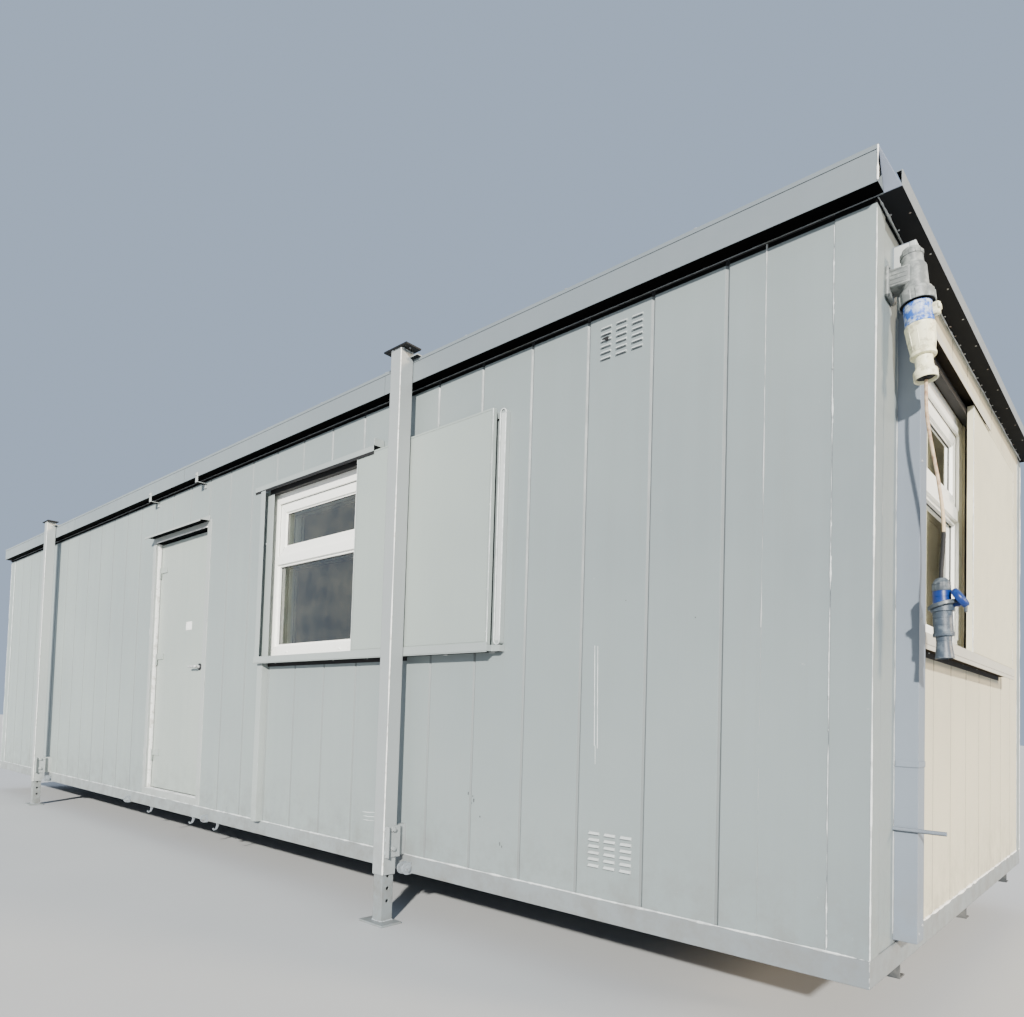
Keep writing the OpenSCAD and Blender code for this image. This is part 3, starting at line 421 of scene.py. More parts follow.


# Painted shade: the rail's downward faces are drawn darker.
finish(["base_rail"], site_paint("rail_enamel", "#7E8589", 1.1, 0.9, under="#4A4D4F"))
# These pale bead paints and the white mastic serve real paint build-up, welds and mastic, and also painted
# highlights on edges and corners.
seam_paint_and_highlight = site_paint("paint_build_up_and_painted_highlight", "#BABFC0", 0.6, 0.8)
white_mastic_and_highlight = weathered("white_mastic_and_highlight", "#F0F0EC", "#C9C7BF", 0.6, 25, 0.4)
bright_seam_and_highlight = weathered("thick_seam_paint_and_painted_highlight", "#D3D7D6", "#B4B8B8", 0.4, 18, 0.6)
proud = 0.0018
seam_z, end_seam_z, mastic_z = wall_z + 0.0014, wall_z + 0.0012, wall_z + 0.002
rail_beads = [bead([near_x, y, seam_z], [far_x, y, seam_z], 0.0034, 11 + k)
              for k, y in enumerate((front_y + proud, rear_y - proud))]
rail_beads.append(bead([far_x + proud, front_y, end_seam_z], [far_x + proud, rear_y, end_seam_z], 0.0022, 14))
piece("rail_paint_bead", rail_beads, bright_seam_and_highlight)
mastic = bead([near_x - proud, front_y + 0.355, mastic_z], [near_x - proud, rear_y - 0.004, mastic_z], 0.0042,
              15, wander=0.0006)
piece("rail_mastic_bead", [mastic], white_mastic_and_highlight)
corners = [(x, y) for x in (near_x - 0.0012, far_x + 0.0012) for y in (front_y + 0.0012, rear_y - 0.0012)]
corner_welds = [upright_bead(x, y, rail_z + 0.004, wall_z - 0.002, 0.0026, 20 + k, step=0.004, wander=0.0003,
                             swell=0.5) for k, (x, y) in enumerate(corners)]
piece("rail_corner_welds", corner_welds, seam_paint_and_highlight)

# FLOOR
# Chipboard deck with grey safety vinyl on top, on softwood joists between the channels, and three folded
# bearers below, all dark with road dirt underneath.
vinyl, place = blank("speckled_safety_vinyl")
speck = node(vinyl, "TexVoronoi", {"Vector": place, "Scale": 260}).outputs["Color"]
speck = node(vinyl, "SeparateColor", {0: speck})
speck = node(vinyl, "MapRange", {0: speck, 1: 0.78, 2: 0.84})
tread = node(vinyl, "TexNoise", {"Vector": place, "Scale": 1.6, "Detail": 6})
tread = node(vinyl, "MapRange", {0: tread, 1: 0.35, 2: 0.7})
floor_tone = node(vinyl, "Mix", {0: tread, 6: rgb("#5E666C"), 7: rgb("#7B7C78")}, data_type="RGBA")
floor_tone = node(vinyl, "Mix", {0: speck, 6: floor_tone, 7: rgb("#A3A8AA")}, data_type="RGBA")
vinyl_face = node(vinyl, "BsdfPrincipled", {"Base Color": floor_tone, "Roughness": 0.5})
node(vinyl, "OutputMaterial", {0: vinyl_face})
finish(["floor_board"], vinyl)
finish(["floor_bearers", "floor_joists"], site_paint("underside_primer", "#383C3F", 1.3, 0.5, gloss=0.6))

# CORNER POSTS AND WALLS
# Steel sheets with pressed V lines 313 mm apart, on a steel frame. The folded corner posts lap the sheets;
# the lap is sealed by a bead of paint, and the sheet nearest the corner has a rough joint 363 mm from it.
# Thick paint has run down the corner, and passing loads have scratched and chipped the sheet beside the
# shutter.
roof_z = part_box("corner_posts")[1].z
# Painted shade: the walls' downward faces are near black, and the top 21 mm of each sheet, under the fascia,
# is painted near black as the fascia's shadow.
wall_paint = site_paint("wall_enamel", under="#15171A", bare=roof_z - 0.021)
finish(["corner_posts", "wall_front_far", "wall_front_over_door", "wall_front_mid", "wall_front_under_window",
        "wall_front_over_window", "wall_front_near", "wall_rear", "wall_far_end", "wall_near_left"],
       wall_paint)
# Painted sunlight: the near end wall's sheets around its window take the wall paint drawn paler and warmer,
# with painted shade on their downward faces.
sunlit_end_wall_paint = site_paint("end_wall_enamel_painted_sunlit", "#CDC7AF", under="#2B2823")
finish(["wall_near_under_window", "wall_near_over_window", "wall_near_right"], sunlit_end_wall_paint)
skin_y, skin_x, far_skin = front_y + 0.004, near_x - 0.004, far_x + 0.004
post_long, post_end, rough_joint = 0.130, 0.090, near_x - 0.363
low_z, lap_z, top_z = wall_z + 0.003, roof_z - 0.036, roof_z - 0.002
# Painted highlight: a pale bead runs up each outer corner of the walls, where the corner catches the light.
corners = [(x, y) for x in (near_x - 0.0004, far_x + 0.0004) for y in (front_y + 0.0004, rear_y - 0.0004)]
laps_arrises_and_scuffs = [upright_bead(x, y, low_z, lap_z, 0.0022, 180 + k, step=0.02, wander=0.0, swell=0.3)
             for k, (x, y) in enumerate(corners)]
laps_arrises_and_scuffs += [upright_bead(x, y, low_z, lap_z, 0.0027, seeds + int(y > 0))
              for x, seeds in ((near_x - post_long - 0.0012, 30), (far_x + post_long + 0.0012, 32))
              for y in (skin_y - 0.0004, rear_y - 0.0036)]
wall_beads = [upright_bead(x, y, low_z, top_z, 0.0022, seeds + int(y > 0))
              for x, seeds in ((skin_x + 0.0004, 40), (far_skin - 0.0004, 42))
              for y in (front_y + post_end + 0.0012, rear_y - post_end - 0.0012)]
wall_beads.append(upright_bead(rough_joint, skin_y, wall_z + 1.06, top_z, 0.0022, 50, step=0.02, swell=0.5))
wall_beads.append(upright_bead(rough_joint, skin_y, low_z, wall_z + 1.062, 0.0006, 51, step=0.02, swell=0.7))


def drip(start, end, radius, count):
    """Run of thick paint that swells in its middle: r(k) = radius sin k."""
    return tube(np.linspace(start, end, count), radius * np.sin(np.linspace(0.4, 2.75, count)), 6)


rng = np.random.default_rng(5)
for k in range(14):
    x, z = near_x - post_long + rng.normal() * 0.002, rng.uniform(wall_z + 0.1, roof_z - 0.1)
    below = [x + rng.normal() * 0.001, skin_y - 0.0005, z + rng.uniform(0.008, 0.03)]
    wall_beads.append(drip([x, skin_y - 0.0005, z], below, 0.0036, 5))
for z, high in ((2.02, 0.05), (1.90, 0.012), (1.86, 0.03), (1.71, 0.02), (2.21, 0.016)):
    foot = np.array([skin_x - 0.0002, front_y + 0.0925, rail_z + z])
    wall_beads.append(drip(foot, foot + [0, 0, high], 0.0042, 6))
piece("wall_seam_beads", wall_beads, seam_paint_and_highlight)
# Painted shade: a thin black strip along the top of the front and rear walls, under the fascia.
wall_top_shade = [slab([far_x + 0.002, side * (skin_y - 0.0035), roof_z - 0.004],
            [near_x - 0.002, side * (skin_y - 0.0005), roof_z + 0.0036], 0.0005) for side in (1, -1)]
piece("wall_top_painted_shade", wall_top_shade, black_rubber_and_shade)
along = np.linspace(0, 1, 12)
for s, z, run, rise in ((2.472, 0.2705, 0.124, -0.0090), (2.471, 0.2465, 0.117, -0.0060),
                        (2.478, 0.2250, 0.104, -0.0045)):
    mark = np.column_stack([near_x - s - run * along, np.full(12, skin_y - 0.0003),
                            rail_z + z + rise * along + 0.0008 * np.sin(9 * along)])
    laps_arrises_and_scuffs.append(tube(mark, 0.0002 + 0.0019 * np.sin(np.pi * along) ** 0.5, 6))
for s, z, to_s, to_z, thick in ((1.066, 1.112, 1.056, 0.700, 0.0013), (1.051, 1.110, 1.041, 0.690, 0.0013),
                                (1.052, 0.702, 1.050, 0.626, 0.0008)):
    scratch = np.linspace([near_x - s, skin_y - 0.0002, rail_z + z],
                          [near_x - to_s, skin_y - 0.0002, rail_z + to_z], 9)
    laps_arrises_and_scuffs.append(tube(scratch, thick, 6))
piece("wall_laps_arris_highlights_and_scuffs", laps_arrises_and_scuffs, bright_seam_and_highlight)
chipped = np.array([(1772, 432, 7, 14), (1743, 424, 5, 9), (1734, 401, 8, 16), (1748, 392, 4, 7),
                    (1691, 334, 7, 8), (1562, 222, 6, 16), (1549, 214, 5, 10), (612, 1196, 4, 5),
                    (918, 1286, 4, 4)]) / 1000
chips = [slab([near_x - s - wide, skin_y - 0.0003, rail_z + z],
              [near_x - s, skin_y + 0.001, rail_z + z + high], 0.0001) for s, z, wide, high in chipped]
piece("wall_paint_chips", chips, weathered("chipped_bare_steel", "#54585A", "#3E4042", 0.6, 60))

# LININGS AND CEILING
# White melamine-faced boards inside, butt-jointed with 3 mm gaps, and a smooth white ceiling.
board, place = blank("white_melamine_board")
grain = node(board, "Mapping", {0: place, 3: (60, 60, 2.5)})
grain = node(board, "TexNoise", {"Vector": grain, "Scale": 1.0, "Detail": 5})
board_tone = node(board, "Mix", {0: grain, 6: rgb("#DAD7CE"), 7: rgb("#E9E7E0")}, data_type="RGBA")
board_relief = node(board, "Bump", {"Height": grain, "Distance": 0.0003})
board_face = node(board, "BsdfPrincipled", {"Base Color": board_tone, "Roughness": 0.4,
                                            "Normal": board_relief})
node(board, "OutputMaterial", {0: board_face})
finish(["lining_front", "lining_rear", "lining_ends", "ceiling"], board)

# ROOF
# Ribbed galvanised sheets laid from the middle to both end gutters, weathered to a matt zinc grey with
# lichen and grit in the pans.
zinc, place = blank("weathered_galvanised_sheet")
spangle = node(zinc, "TexVoronoi", {"Vector": place, "Scale": 90}).outputs["Color"]
spangle = node(zinc, "SeparateColor", {0: spangle})
moss = node(zinc, "TexNoise", {"Vector": place, "Scale": 3.2, "Detail": 10, "Roughness": 0.7})
moss = node(zinc, "MapRange", {0: moss, 1: 0.52, 2: 0.66})
zinc_tone = node(zinc, "Mix", {0: spangle, 6: rgb("#8B9193"), 7: rgb("#9DA3A5")}, data_type="RGBA")
zinc_tone = node(zinc, "Mix", {0: moss, 6: zinc_tone, 7: rgb("#6F7166")}, data_type="RGBA")
zinc_rough = node(zinc, "MapRange", {0: moss, 3: 0.5, 4: 0.9})
zinc_face = node(zinc, "BsdfPrincipled", {"Base Color": zinc_tone, "Metallic": 0.35, "Roughness": zinc_rough})
node(zinc, "OutputMaterial", {0: zinc_face})
finish(["roof_sheet", "roof_deck"], zinc)

# FASCIAS
# Folded steel fascia with a capping lip; faces that look down are painted near black as painted shade. Dome
# screws hold the cap every 610 mm, and two strap clips with a hook behind hang over the doorway.
finish(["fascias"], site_paint("fascia_enamel", "#757E84", 0.5, 0.85, under="#070707"))
fascia_low, fascia_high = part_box("fascias")
cap_z, face_y = fascia_high.z, fascia_low.y


def dome(at, run, radius, height, count=12):
    """Button head: h(k) = height sin(k), r(k) = radius cos(k), standing on a point along run."""
    k = np.linspace(0, 1.5, 5)
    profile = [(-0.0006, radius)] + list(zip(height * np.sin(k), radius * np.cos(k)))
    return turned(profile, at, run, count)


def hex_bolt(at, run, across, height):
    """Hexagon head with a washer under it: a six-sided lathe form with chamfered corners."""
    head = turned([(0.0018, across * 0.55), (height * 0.85, across * 0.577), (height, across * 0.5)],
                  at, run, 6)
    return [turned([(-0.0006, across * 0.92), (0.0018, across * 0.92), (0.0020, across * 0.86)],
                   at, run, 24), head]


zinc_screw = weathered("zinc_plated_screw", "#9B9FA1", "#7C6E62", 0.4, 60, 0.6)
screws, laps, clips = [], [], []
for side in (-1, 1):
    y = side * -(face_y + 0.011)
    for k in range(16):
        x = near_x - 0.61 * (k + 1) + 0.006 * math.sin(7 * k)
        screws += [turned([(-0.0005, 0.011), (0.0022, 0.011), (0.0026, 0.0095)],
                          [x, y, cap_z], (0, 0, 1), 16),
                   dome([x, y, cap_z + 0.0022], (0, 0, 1), 0.0075, 0.0052)]
    y = side * -(face_y + 0.002)
    for x in (near_x - 2.44, near_x - 4.88, near_x - 7.32):
        laps.append(slab([x - 0.0006, y - 0.0006, cap_z - 0.119], [x + 0.0006, y + 0.0006, cap_z - 0.0165],
                         0.0002))
piece("fascia_screws", screws, zinc_screw)
dark_gap = weathered("dark_joint_gap", "#2B2D2F", "#1D1E20", 0.8)
piece("fascia_laps", laps, dark_gap)
for x in (near_x - 4.660, near_x - 5.495):
    clips += [slab([x - wide, outer, rail_z + low], [x + wide, inner, rail_z + high])
              for wide, outer, inner, low, high in ((0.019, face_y - 0.0035, face_y + 0.0015, 2.482, 2.553),
                                                    (0.019, face_y - 0.0035, front_y + 0.003, 2.478, 2.4835),
                                                    (0.012, front_y - 0.004, front_y + 0.004, 2.448, 2.482))]
    clips += hex_bolt([x, face_y - 0.0035, rail_z + 2.535], (0, -1, 0), 0.012, 0.007)
# Painted shade: the clips' downward faces are near black.
piece("fascia_clips", clips, site_paint("clip_enamel", "#9CA2A4", 0.5, 0.8, under="#0A0B0C"))

# GUTTERS
# Each end has a folded gutter with a return lip. Pop rivets at 100 mm hold its floor to the wall flange, a
# mastic bead seals it, and its downward faces are painted dark as painted shade. Tapering plates close it at
# the sides; their bluer grey is a painted reflection of the sky, with painted shade below.
finish(["gutters"], site_paint("gutter_enamel", "#7F8589", 0.8, 0.9, under="#232426"))
finish(["gutter_end_plates"], site_paint("end_plate_enamel_painted_sky_reflection", "#828B9D", 0.4, 0.5,
                                         under="#4A5058", gloss=0.34))
rivets, mastic = [], []
for end_x, outward, seed in ((near_x, 1, 61), (far_x, -1, 62)):
    x = end_x + outward * 0.008
    rivets += [dome([x, front_y + 0.12 + 0.1 * k, roof_z + 0.0004], (0, 0, -1), 0.0048, 0.0026, 10)
               for k in range(29)]
    x += outward * 0.052
    rivets += [dome([x, front_y + 0.15 + 0.28 * k, roof_z + 0.0004], (0, 0, -1), 0.004, 0.002, 10)
               for k in range(11)]
    x, z = end_x + outward * 0.0012, roof_z - 0.0006
    mastic.append(bead([x, front_y + 0.004, z], [x, rear_y - 0.004, z], 0.0028, seed))
piece("gutter_rivets", rivets, zinc_screw)
piece("gutter_mastic", mastic, seam_paint_and_highlight)
# Painted highlight: a thin white bead down each end corner of the fascia, where its edge catches the light.
fascia_arris_highlights = [upright_bead(near_x + 0.0195, y, fascia_low.z + 0.004, cap_z - 0.004, 0.0019, 63, step=0.006,
                             wander=0.0003, swell=0.5) for y in (face_y + 0.0012, -face_y - 0.0012)]
piece("fascia_corner_painted_highlight", fascia_arris_highlights, white_mastic_and_highlight)

# JACK LEGS
# 80 mm square tubes clamped to the walls, with a 68 mm inner tube pinned at height and a welded foot. Welds
# run round each foot and down each bracket; the cap plates are bare blackened steel.
# Painted sunlight: the legs take a paler copy of the wall paint, with painted shade on their downward faces.
finish(["leg_posts", "leg_brackets"], site_paint("leg_enamel_painted_sunlit", "#8F9598", 0.8, 0.9, under="#2B2D30"))
finish(["leg_feet"], site_paint("leg_foot_enamel", "#7B8286", 1.4, 1.0))
black_steel, place = blank("blackened_steel_plate")
scale_mark = node(black_steel, "TexNoise", {"Vector": place, "Scale": 34, "Detail": 10, "Roughness": 0.7})
rusted = node(black_steel, "MapRange", {0: scale_mark, 1: 0.55, 2: 0.66})
plate_tone = node(black_steel, "Mix", {0: rusted, 6: rgb("#101317"), 7: rgb("#2E241E")}, data_type="RGBA")
plate_relief = node(black_steel, "Bump", {"Height": scale_mark, "Distance": 0.0006})
plate_face = node(black_steel, "BsdfPrincipled", {"Base Color": plate_tone, "Metallic": 0.3,
                                                  "Roughness": 0.62, "Normal": plate_relief})
node(black_steel, "OutputMaterial", {0: plate_face})
finish(["leg_caps"], black_steel)
leg_low, leg_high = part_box("leg_posts")
half = 0.040
leg_spots = [(x, side) for x in (leg_high.x - half, leg_low.x + half) for side in (1, -1)]
leg_y = leg_low.y + half
weld_metal = weathered("painted_weld_metal", "#959CA0", "#777775", 0.5, 70, 0.6)
welds, leg_arris_highlights = [], []
for k, (x, side) in enumerate(leg_spots):
    y = side * leg_y
    for c, z, thick, seed in ((0.034, 0.0115, 0.0042, 70), (0.0395, leg_high.z - 0.0012, 0.0032, 80)):
        ring = [(-c, -c), (c, -c), (c, c), (-c, c), (-c, -c)]
        welds += [bead([x + a[0], y + a[1], z], [x + b[0], y + b[1], z], thick, seed + k, 0.004, 0.0004, 0.5)
                  for a, b in zip(ring, ring[1:])]
    for z in (wall_z + 0.012, wall_z + 0.075, wall_z + 0.128):
        welds.append(upright_bead(x + 0.0405, y - side * 0.031, z, z + 0.022, 0.003, 90 + k,
                                  step=0.003, wander=0.0003, swell=0.5))
    welds.append(upright_bead(x - 0.0245, y + side * 0.1135, wall_z + 0.004, wall_z + 0.15, 0.003, 95 + k,
                              step=0.004, wander=0.0005, swell=0.5))
    # Painted highlight: a white bead up the outer corner of each leg that faces the near end, where it
    # catches the light.
    leg_arris_highlights.append(upright_bead(x + 0.0396, side * (leg_y - 0.0396), rail_z + 0.004, leg_high.z - 0.004,
                               0.0032, 170 + k, step=0.03, wander=0.0, swell=0.2))
piece("leg_welds", welds, weld_metal)
piece("leg_arris_painted_highlights", leg_arris_highlights, white_mastic_and_highlight)

# DOOR
# Steel-skinned leaf in a folded frame, set back 50 mm, with a rubber seal, a bright threshold strip, a rain
# strip above, three lift-off hinges, a lever on a black rose and a bare white plate.
finish(["door_leaf", "hinge_straps", "hinge_pins"], site_paint("door_enamel", "#929B99", 0.8, 0.7))
# Painted shade: the frame's and rain strip's downward faces are near black.
finish(["door_frame", "door_drip"], site_paint("door_frame_enamel", "#959B9C", 0.7, 0.8, under="#0C0D0F"))
finish(["door_sign"], weathered("white_sign_plastic", "#F2F2EE", "#DAD9D2", 0.35, 20, 0.2))
leaf_low, leaf_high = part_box("door_leaf")
leaf_gap, face_wide = 0.008, 0.0545
door_near, door_far = leaf_high.x + leaf_gap, leaf_low.x - leaf_gap
sill_z, head_z = leaf_low.z - leaf_gap, leaf_high.z + leaf_gap
far_sill = np.array([door_far + 0.001, front_y, sill_z])
near_sill = np.array([door_near - 0.001, front_y, sill_z])
threshold = [slab(far_sill + [0, 0.003, -0.0004], near_sill + [0, 0.047, 0.0032]),
             slab(far_sill + [0, 0.0005, -0.018], near_sill + [0, 0.0045, 0.0028], 0.0008)]
for deep in (0.012, 0.024, 0.036):
    y, z = front_y + deep, sill_z + 0.0034
    threshold.append(tube(np.linspace([door_far + 0.004, y, z], [door_near - 0.004, y, z], 3), 0.0012, 6))
aluminium = weathered("mill_aluminium", "#D5D7D6", "#A9AAA8", 0.34, 14, 0.6)
piece("door_threshold", threshold, aluminium)
# Painted highlight: a thin white strip on the far jamb's reveal and another across the head frame's face.
jamb_highlight = slab([door_far + 0.0001, front_y + 0.016, sill_z + 0.003],
                   [door_far + 0.0022, front_y + 0.046, head_z - 0.003], 0.0006)
head_highlight = slab([door_far + 0.004, front_y + 0.0008, head_z - 0.0002],
                   [door_near - 0.004, front_y - 0.0010, head_z + 0.010], 0.0004)
piece("door_frame_painted_highlights", [jamb_highlight, head_highlight], white_mastic_and_highlight)
seal_black = weathered("black_epdm_seal", "#17181A", "#26272A", 0.7)
seal_y = front_y + 0.0978
seal_runs = [((x, sill_z + 0.01), (x, head_z - 0.01)) for x in (door_near - 0.0075, door_far + 0.0075)]
seal_runs.append(((door_far + 0.01, head_z - 0.0075), (door_near - 0.01, head_z - 0.0075)))
seal = [tube(np.linspace([a[0], seal_y, a[1]], [b[0], seal_y, b[1]], 3), 0.0024, 8) for a, b in seal_runs]
piece("door_seal", seal, seal_black)
bead_y, head_bead_z = skin_y - 0.0002, head_z + 0.0545
frame_beads = [upright_bead(door_near + face_wide, bead_y, wall_z + 0.01, head_z + 0.053, 0.0019, 101),
               upright_bead(door_far - face_wide, bead_y, wall_z + 0.01, head_z + 0.053, 0.0026, 102,
                            swell=0.6),
               bead([door_far - 0.05, bead_y, head_bead_z], [door_near + 0.05, bead_y, head_bead_z],
                    0.0019, 103),
               upright_bead(door_far - 0.002, front_y - 0.0004, sill_z + 0.01, head_z - 0.01, 0.0022,
                            104, swell=0.5)]
piece("door_frame_beads", frame_beads, seam_paint_and_highlight)
lock_x, lock_z, leaf_y = door_near - 0.130, rail_z + 1.112, leaf_low.y
rose = np.array([(-0.6, 26.2), (5.2, 26.2), (6.8, 25), (7.8, 21.5), (8.6, 20.5), (9, 12.5)]) / 1000
handle_plate = piece("door_rose", [turned(rose, [lock_x, leaf_y, lock_z], (0, -1, 0))],
                     weathered("black_powder_coat", "#1C1D1F", "#33322F", 0.42, 40, 0.3),
                     "door")
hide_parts("door_handle")
spindle = np.array([(0, 11.5), (10, 10.8), (12, 9.5), (34, 9.3)]) / 1000
lever_points = np.array([(0.5, 30), (0, 38.5), (-6, 41.5), (-30, 41.8), (-75, 41.8), (-112, 41.2)]) / 1000
lever_line = smooth_line([[lock_x + along, leaf_y - out, lock_z] for along, out in lever_points], 40)
lever_thick = np.concatenate([np.full(12, 0.0108), np.linspace(0.0108, 0.0085, 10), np.full(14, 0.0084),
                              [0.0082, 0.0076, 0.006, 0.003]])
lever = [turned(spindle, [lock_x, leaf_y - 0.0085, lock_z], (0, -1, 0), 24),
         tube(lever_line, lever_thick, 16)]
piece("door_lever", lever, weathered("satin_lever_metal", "#B9BBBA", "#8D8C88", 0.3, 50, 0.4),
      "door")
sign_low, sign_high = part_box("door_sign")
pin_in = 0.008
pins = [dome([x, sign_low.y, z], (0, -1, 0), 0.0034, 0.002)
        for x in (sign_low.x + pin_in, sign_high.x - pin_in)
        for z in (sign_low.z + pin_in, sign_high.z - pin_in)]
piece("door_sign_pins", pins, zinc_screw, "door")

# WINDOWS
# White PVC frames with mitred, welded corners, a fixed lower pane held by beads and a top-hung light above,
# sealed by black gaskets; clear double glazing, an inside handle, and drain caps in the bottom rail.
pvc, place = blank("white_window_pvc")
pvc_dirt = node(pvc, "TexNoise", {"Vector": place, "Scale": 12, "Detail": 9, "Roughness": 0.7})
pvc_dirt = node(pvc, "MapRange", {0: pvc_dirt, 1: 0.56, 2: 0.78, 3: 0.0, 4: 0.5})
pvc_tone = node(pvc, "Mix", {0: pvc_dirt, 6: rgb("#FFFFF8"), 7: rgb("#D6D4C8")}, data_type="RGBA")
pvc_face = node(pvc, "BsdfPrincipled", {"Base Color": pvc_tone, "Roughness": 0.28, "IOR": 1.53})
node(pvc, "OutputMaterial", {0: pvc_face})
finish(["window_frame", "window_sash", "end_window_frame", "end_window_sash"], pvc)
# Clear float glass: it mirrors by Fresnel, lets the rest through slightly greened, and carries a film of
# dust.
glass, place = blank("clear_double_glazing")
film = node(glass, "TexNoise", {"Vector": place, "Scale": 7, "Detail": 8, "Roughness": 0.7})
film_rough = node(glass, "MapRange", {0: film, 1: 0.5, 2: 0.8, 3: 0.012, 4: 0.09})
shine = node(glass, "BsdfGlossy", {"Color": rgb("#FFFFFF"), "Roughness": film_rough})
clear = node(glass, "BsdfTransparent", {"Color": rgb("#E4EBE8")})
mirror = node(glass, "Math", {0: node(glass, "Fresnel", {"IOR": 1.5}), 1: 2.2},
              operation="MULTIPLY", use_clamp=True)
pane = node(glass, "MixShader", {0: mirror, 1: clear, 2: shine})
dusty = node(glass, "MapRange", {0: film, 1: 0.35, 2: 0.75, 3: 0.01, 4: 0.08})
dust_face = node(glass, "BsdfDiffuse", {"Color": rgb("#B9B295")})
node(glass, "OutputMaterial", {0: node(glass, "MixShader", {0: dusty, 1: pane, 2: dust_face})})
finish(["window_glass", "end_window_glass"], glass)


def on_wall(wall, points):
    """Places points (distance along the wall, depth, height), measured from the near front corner and the
    rail's bottom, on the front wall or the near end wall."""
    along, depth, high = np.moveaxis(np.asarray(points, float), -1, 0)
    if wall == "front":
        return np.stack([near_x - along, front_y + depth, rail_z + high], -1)
    return np.stack([near_x - depth, front_y + along, rail_z + high], -1)


def around(wall, left, right_side, low, high, depth, profile):
    """Strip carried round a rectangle with mitred corners: P(corner, j) = corner + inward a(j), depth +
    b(j)."""
    a, b = np.asarray(profile, float).T
    corners = [(left, low, 1, 1), (right_side, low, -1, 1), (right_side, high, -1, -1), (left, high, 1, -1)]
    return on_wall(wall,
                   np.stack([np.stack([c + i * a, depth + b, d + k * a], -1)
                             for c, d, i, k in corners])), "ring"


def strip(wall, along, depth, high):
    """Square-edged flat strip on a wall, from its two distances, two depths and two heights."""
    (a, b), (low, top) = along, high
    return on_wall(wall, [[[a, d, low], [b, d, low], [b, d, top], [a, d, top]] for d in depth])


win_wide, win_high, base = 1.010, 1.074, 1.144
pane_top, light_low, light_top, frame_wide, sash_wide = 0.604, 0.659, 1.004, 0.070, 0.058
gasket_section = [(-0.0005, 0.0005), (0.0035, 0.0005), (0.0035, -0.0020), (0.0016, -0.0032),
                  (-0.0005, -0.0022)]
gap_section = [(-0.0014, 0.0), (0.0014, 0.0), (0.0014, -0.0012), (-0.0014, -0.0012)]
trim_section = [(-0.045, 0.0), (0.0, 0.0), (0.0, 0.009), (-0.004, 0.012), (-0.045, 0.009)]
oval = np.linspace(0, 2 * np.pi, 40, endpoint=False)
gaskets, drains, mitres, handles, trims = [], [], [], [], []
for wall, left in (("front", 2.670), ("end", 0.390)):
    face, sash_face, right_side = 0.014, 0.028, left + win_wide
    for inset, low, high, depth, section in (
            (frame_wide + 0.014, frame_wide + 0.014, pane_top - 0.014, face + 0.031, gasket_section),
            (frame_wide + sash_wide + 0.010, light_low + 0.068, light_top - 0.068, face + 0.030,
             gasket_section),
            (frame_wide + 0.001, light_low + 0.001, light_top - 0.001, sash_face, gap_section)):
        gaskets.append(around(wall, left + inset, right_side - inset, base + low, base + high,
                              depth, section))
    for s in (left + 0.22, right_side - 0.22):
        cap = [[[s + a, face + d, base + 0.026 + h]
                for a, h in ((-c, e), (c, e), (c, 0.011 - e), (-c, 0.011 - e))]
               for c, d, e in ((0.016, 0.0004, 0), (0.014, -0.0036, 0.001))]
        drains.append(on_wall(wall, cap))
    for inset, low, high, reach, depth, thick in (
            (0.0, 0.0, win_high, 0.0695, face - 0.0001, 0.0006),
            (0.072, light_low + 0.002, light_top - 0.002, 0.0555, sash_face - 0.0001, 0.0005)):
        for s, inward in ((left + inset, 1), (right_side - inset, -1)):
            for t, upward in ((base + low, 1), (base + high, -1)):
                mitre = np.linspace([s + inward * 0.001, depth, t + upward * 0.001],
                                    [s + inward * reach, depth, t + upward * reach], 4)
                mitres.append(tube(on_wall(wall, mitre), thick, 6))
    back, handle_s, handle_z = face + 0.076, left + 0.505, base + light_low + 0.030
    plate = [np.stack([handle_s + 0.032 * np.cos(oval), np.full(40, back + d),
                       handle_z + 0.013 * np.sin(oval)], -1) for d in (-0.0005, 0.0080, 0.0095)]
    grip_line = smooth_line([[handle_s + along, back + deep, handle_z] for along, deep in (
        (0, 0.008), (0, 0.026), (0.008, 0.034), (0.05, 0.035), (0.105, 0.034))], 26)
    handles += [on_wall(wall, np.stack(plate)), tube(on_wall(wall, grip_line), 0.0075, 14)]
    trims.append(around(wall, left - 0.0005, right_side + 0.0005, base - 0.0005, base + win_high + 0.0005,
                        0.0715, trim_section))
piece("window_gaskets", gaskets, seal_black)
piece("window_drain_caps", drains, pvc, smooth=False)
piece("window_mitre_lines", mitres, dark_gap)
piece("window_inside_trim", trims, pvc, smooth=False)
piece("window_inside_handles", handles, pvc)

# SHUTTERS
# Two folded steel panels that slide over the windows. Each has its edges folded back 25 mm, a raised rim
# where the fold was pressed, and a skin broken corner to corner, so that it stands 2 to 4 mm proud in the
# middle.
front_shutter_paint = site_paint("shutter_enamel", "#939D9B", 0.5, 0.8)
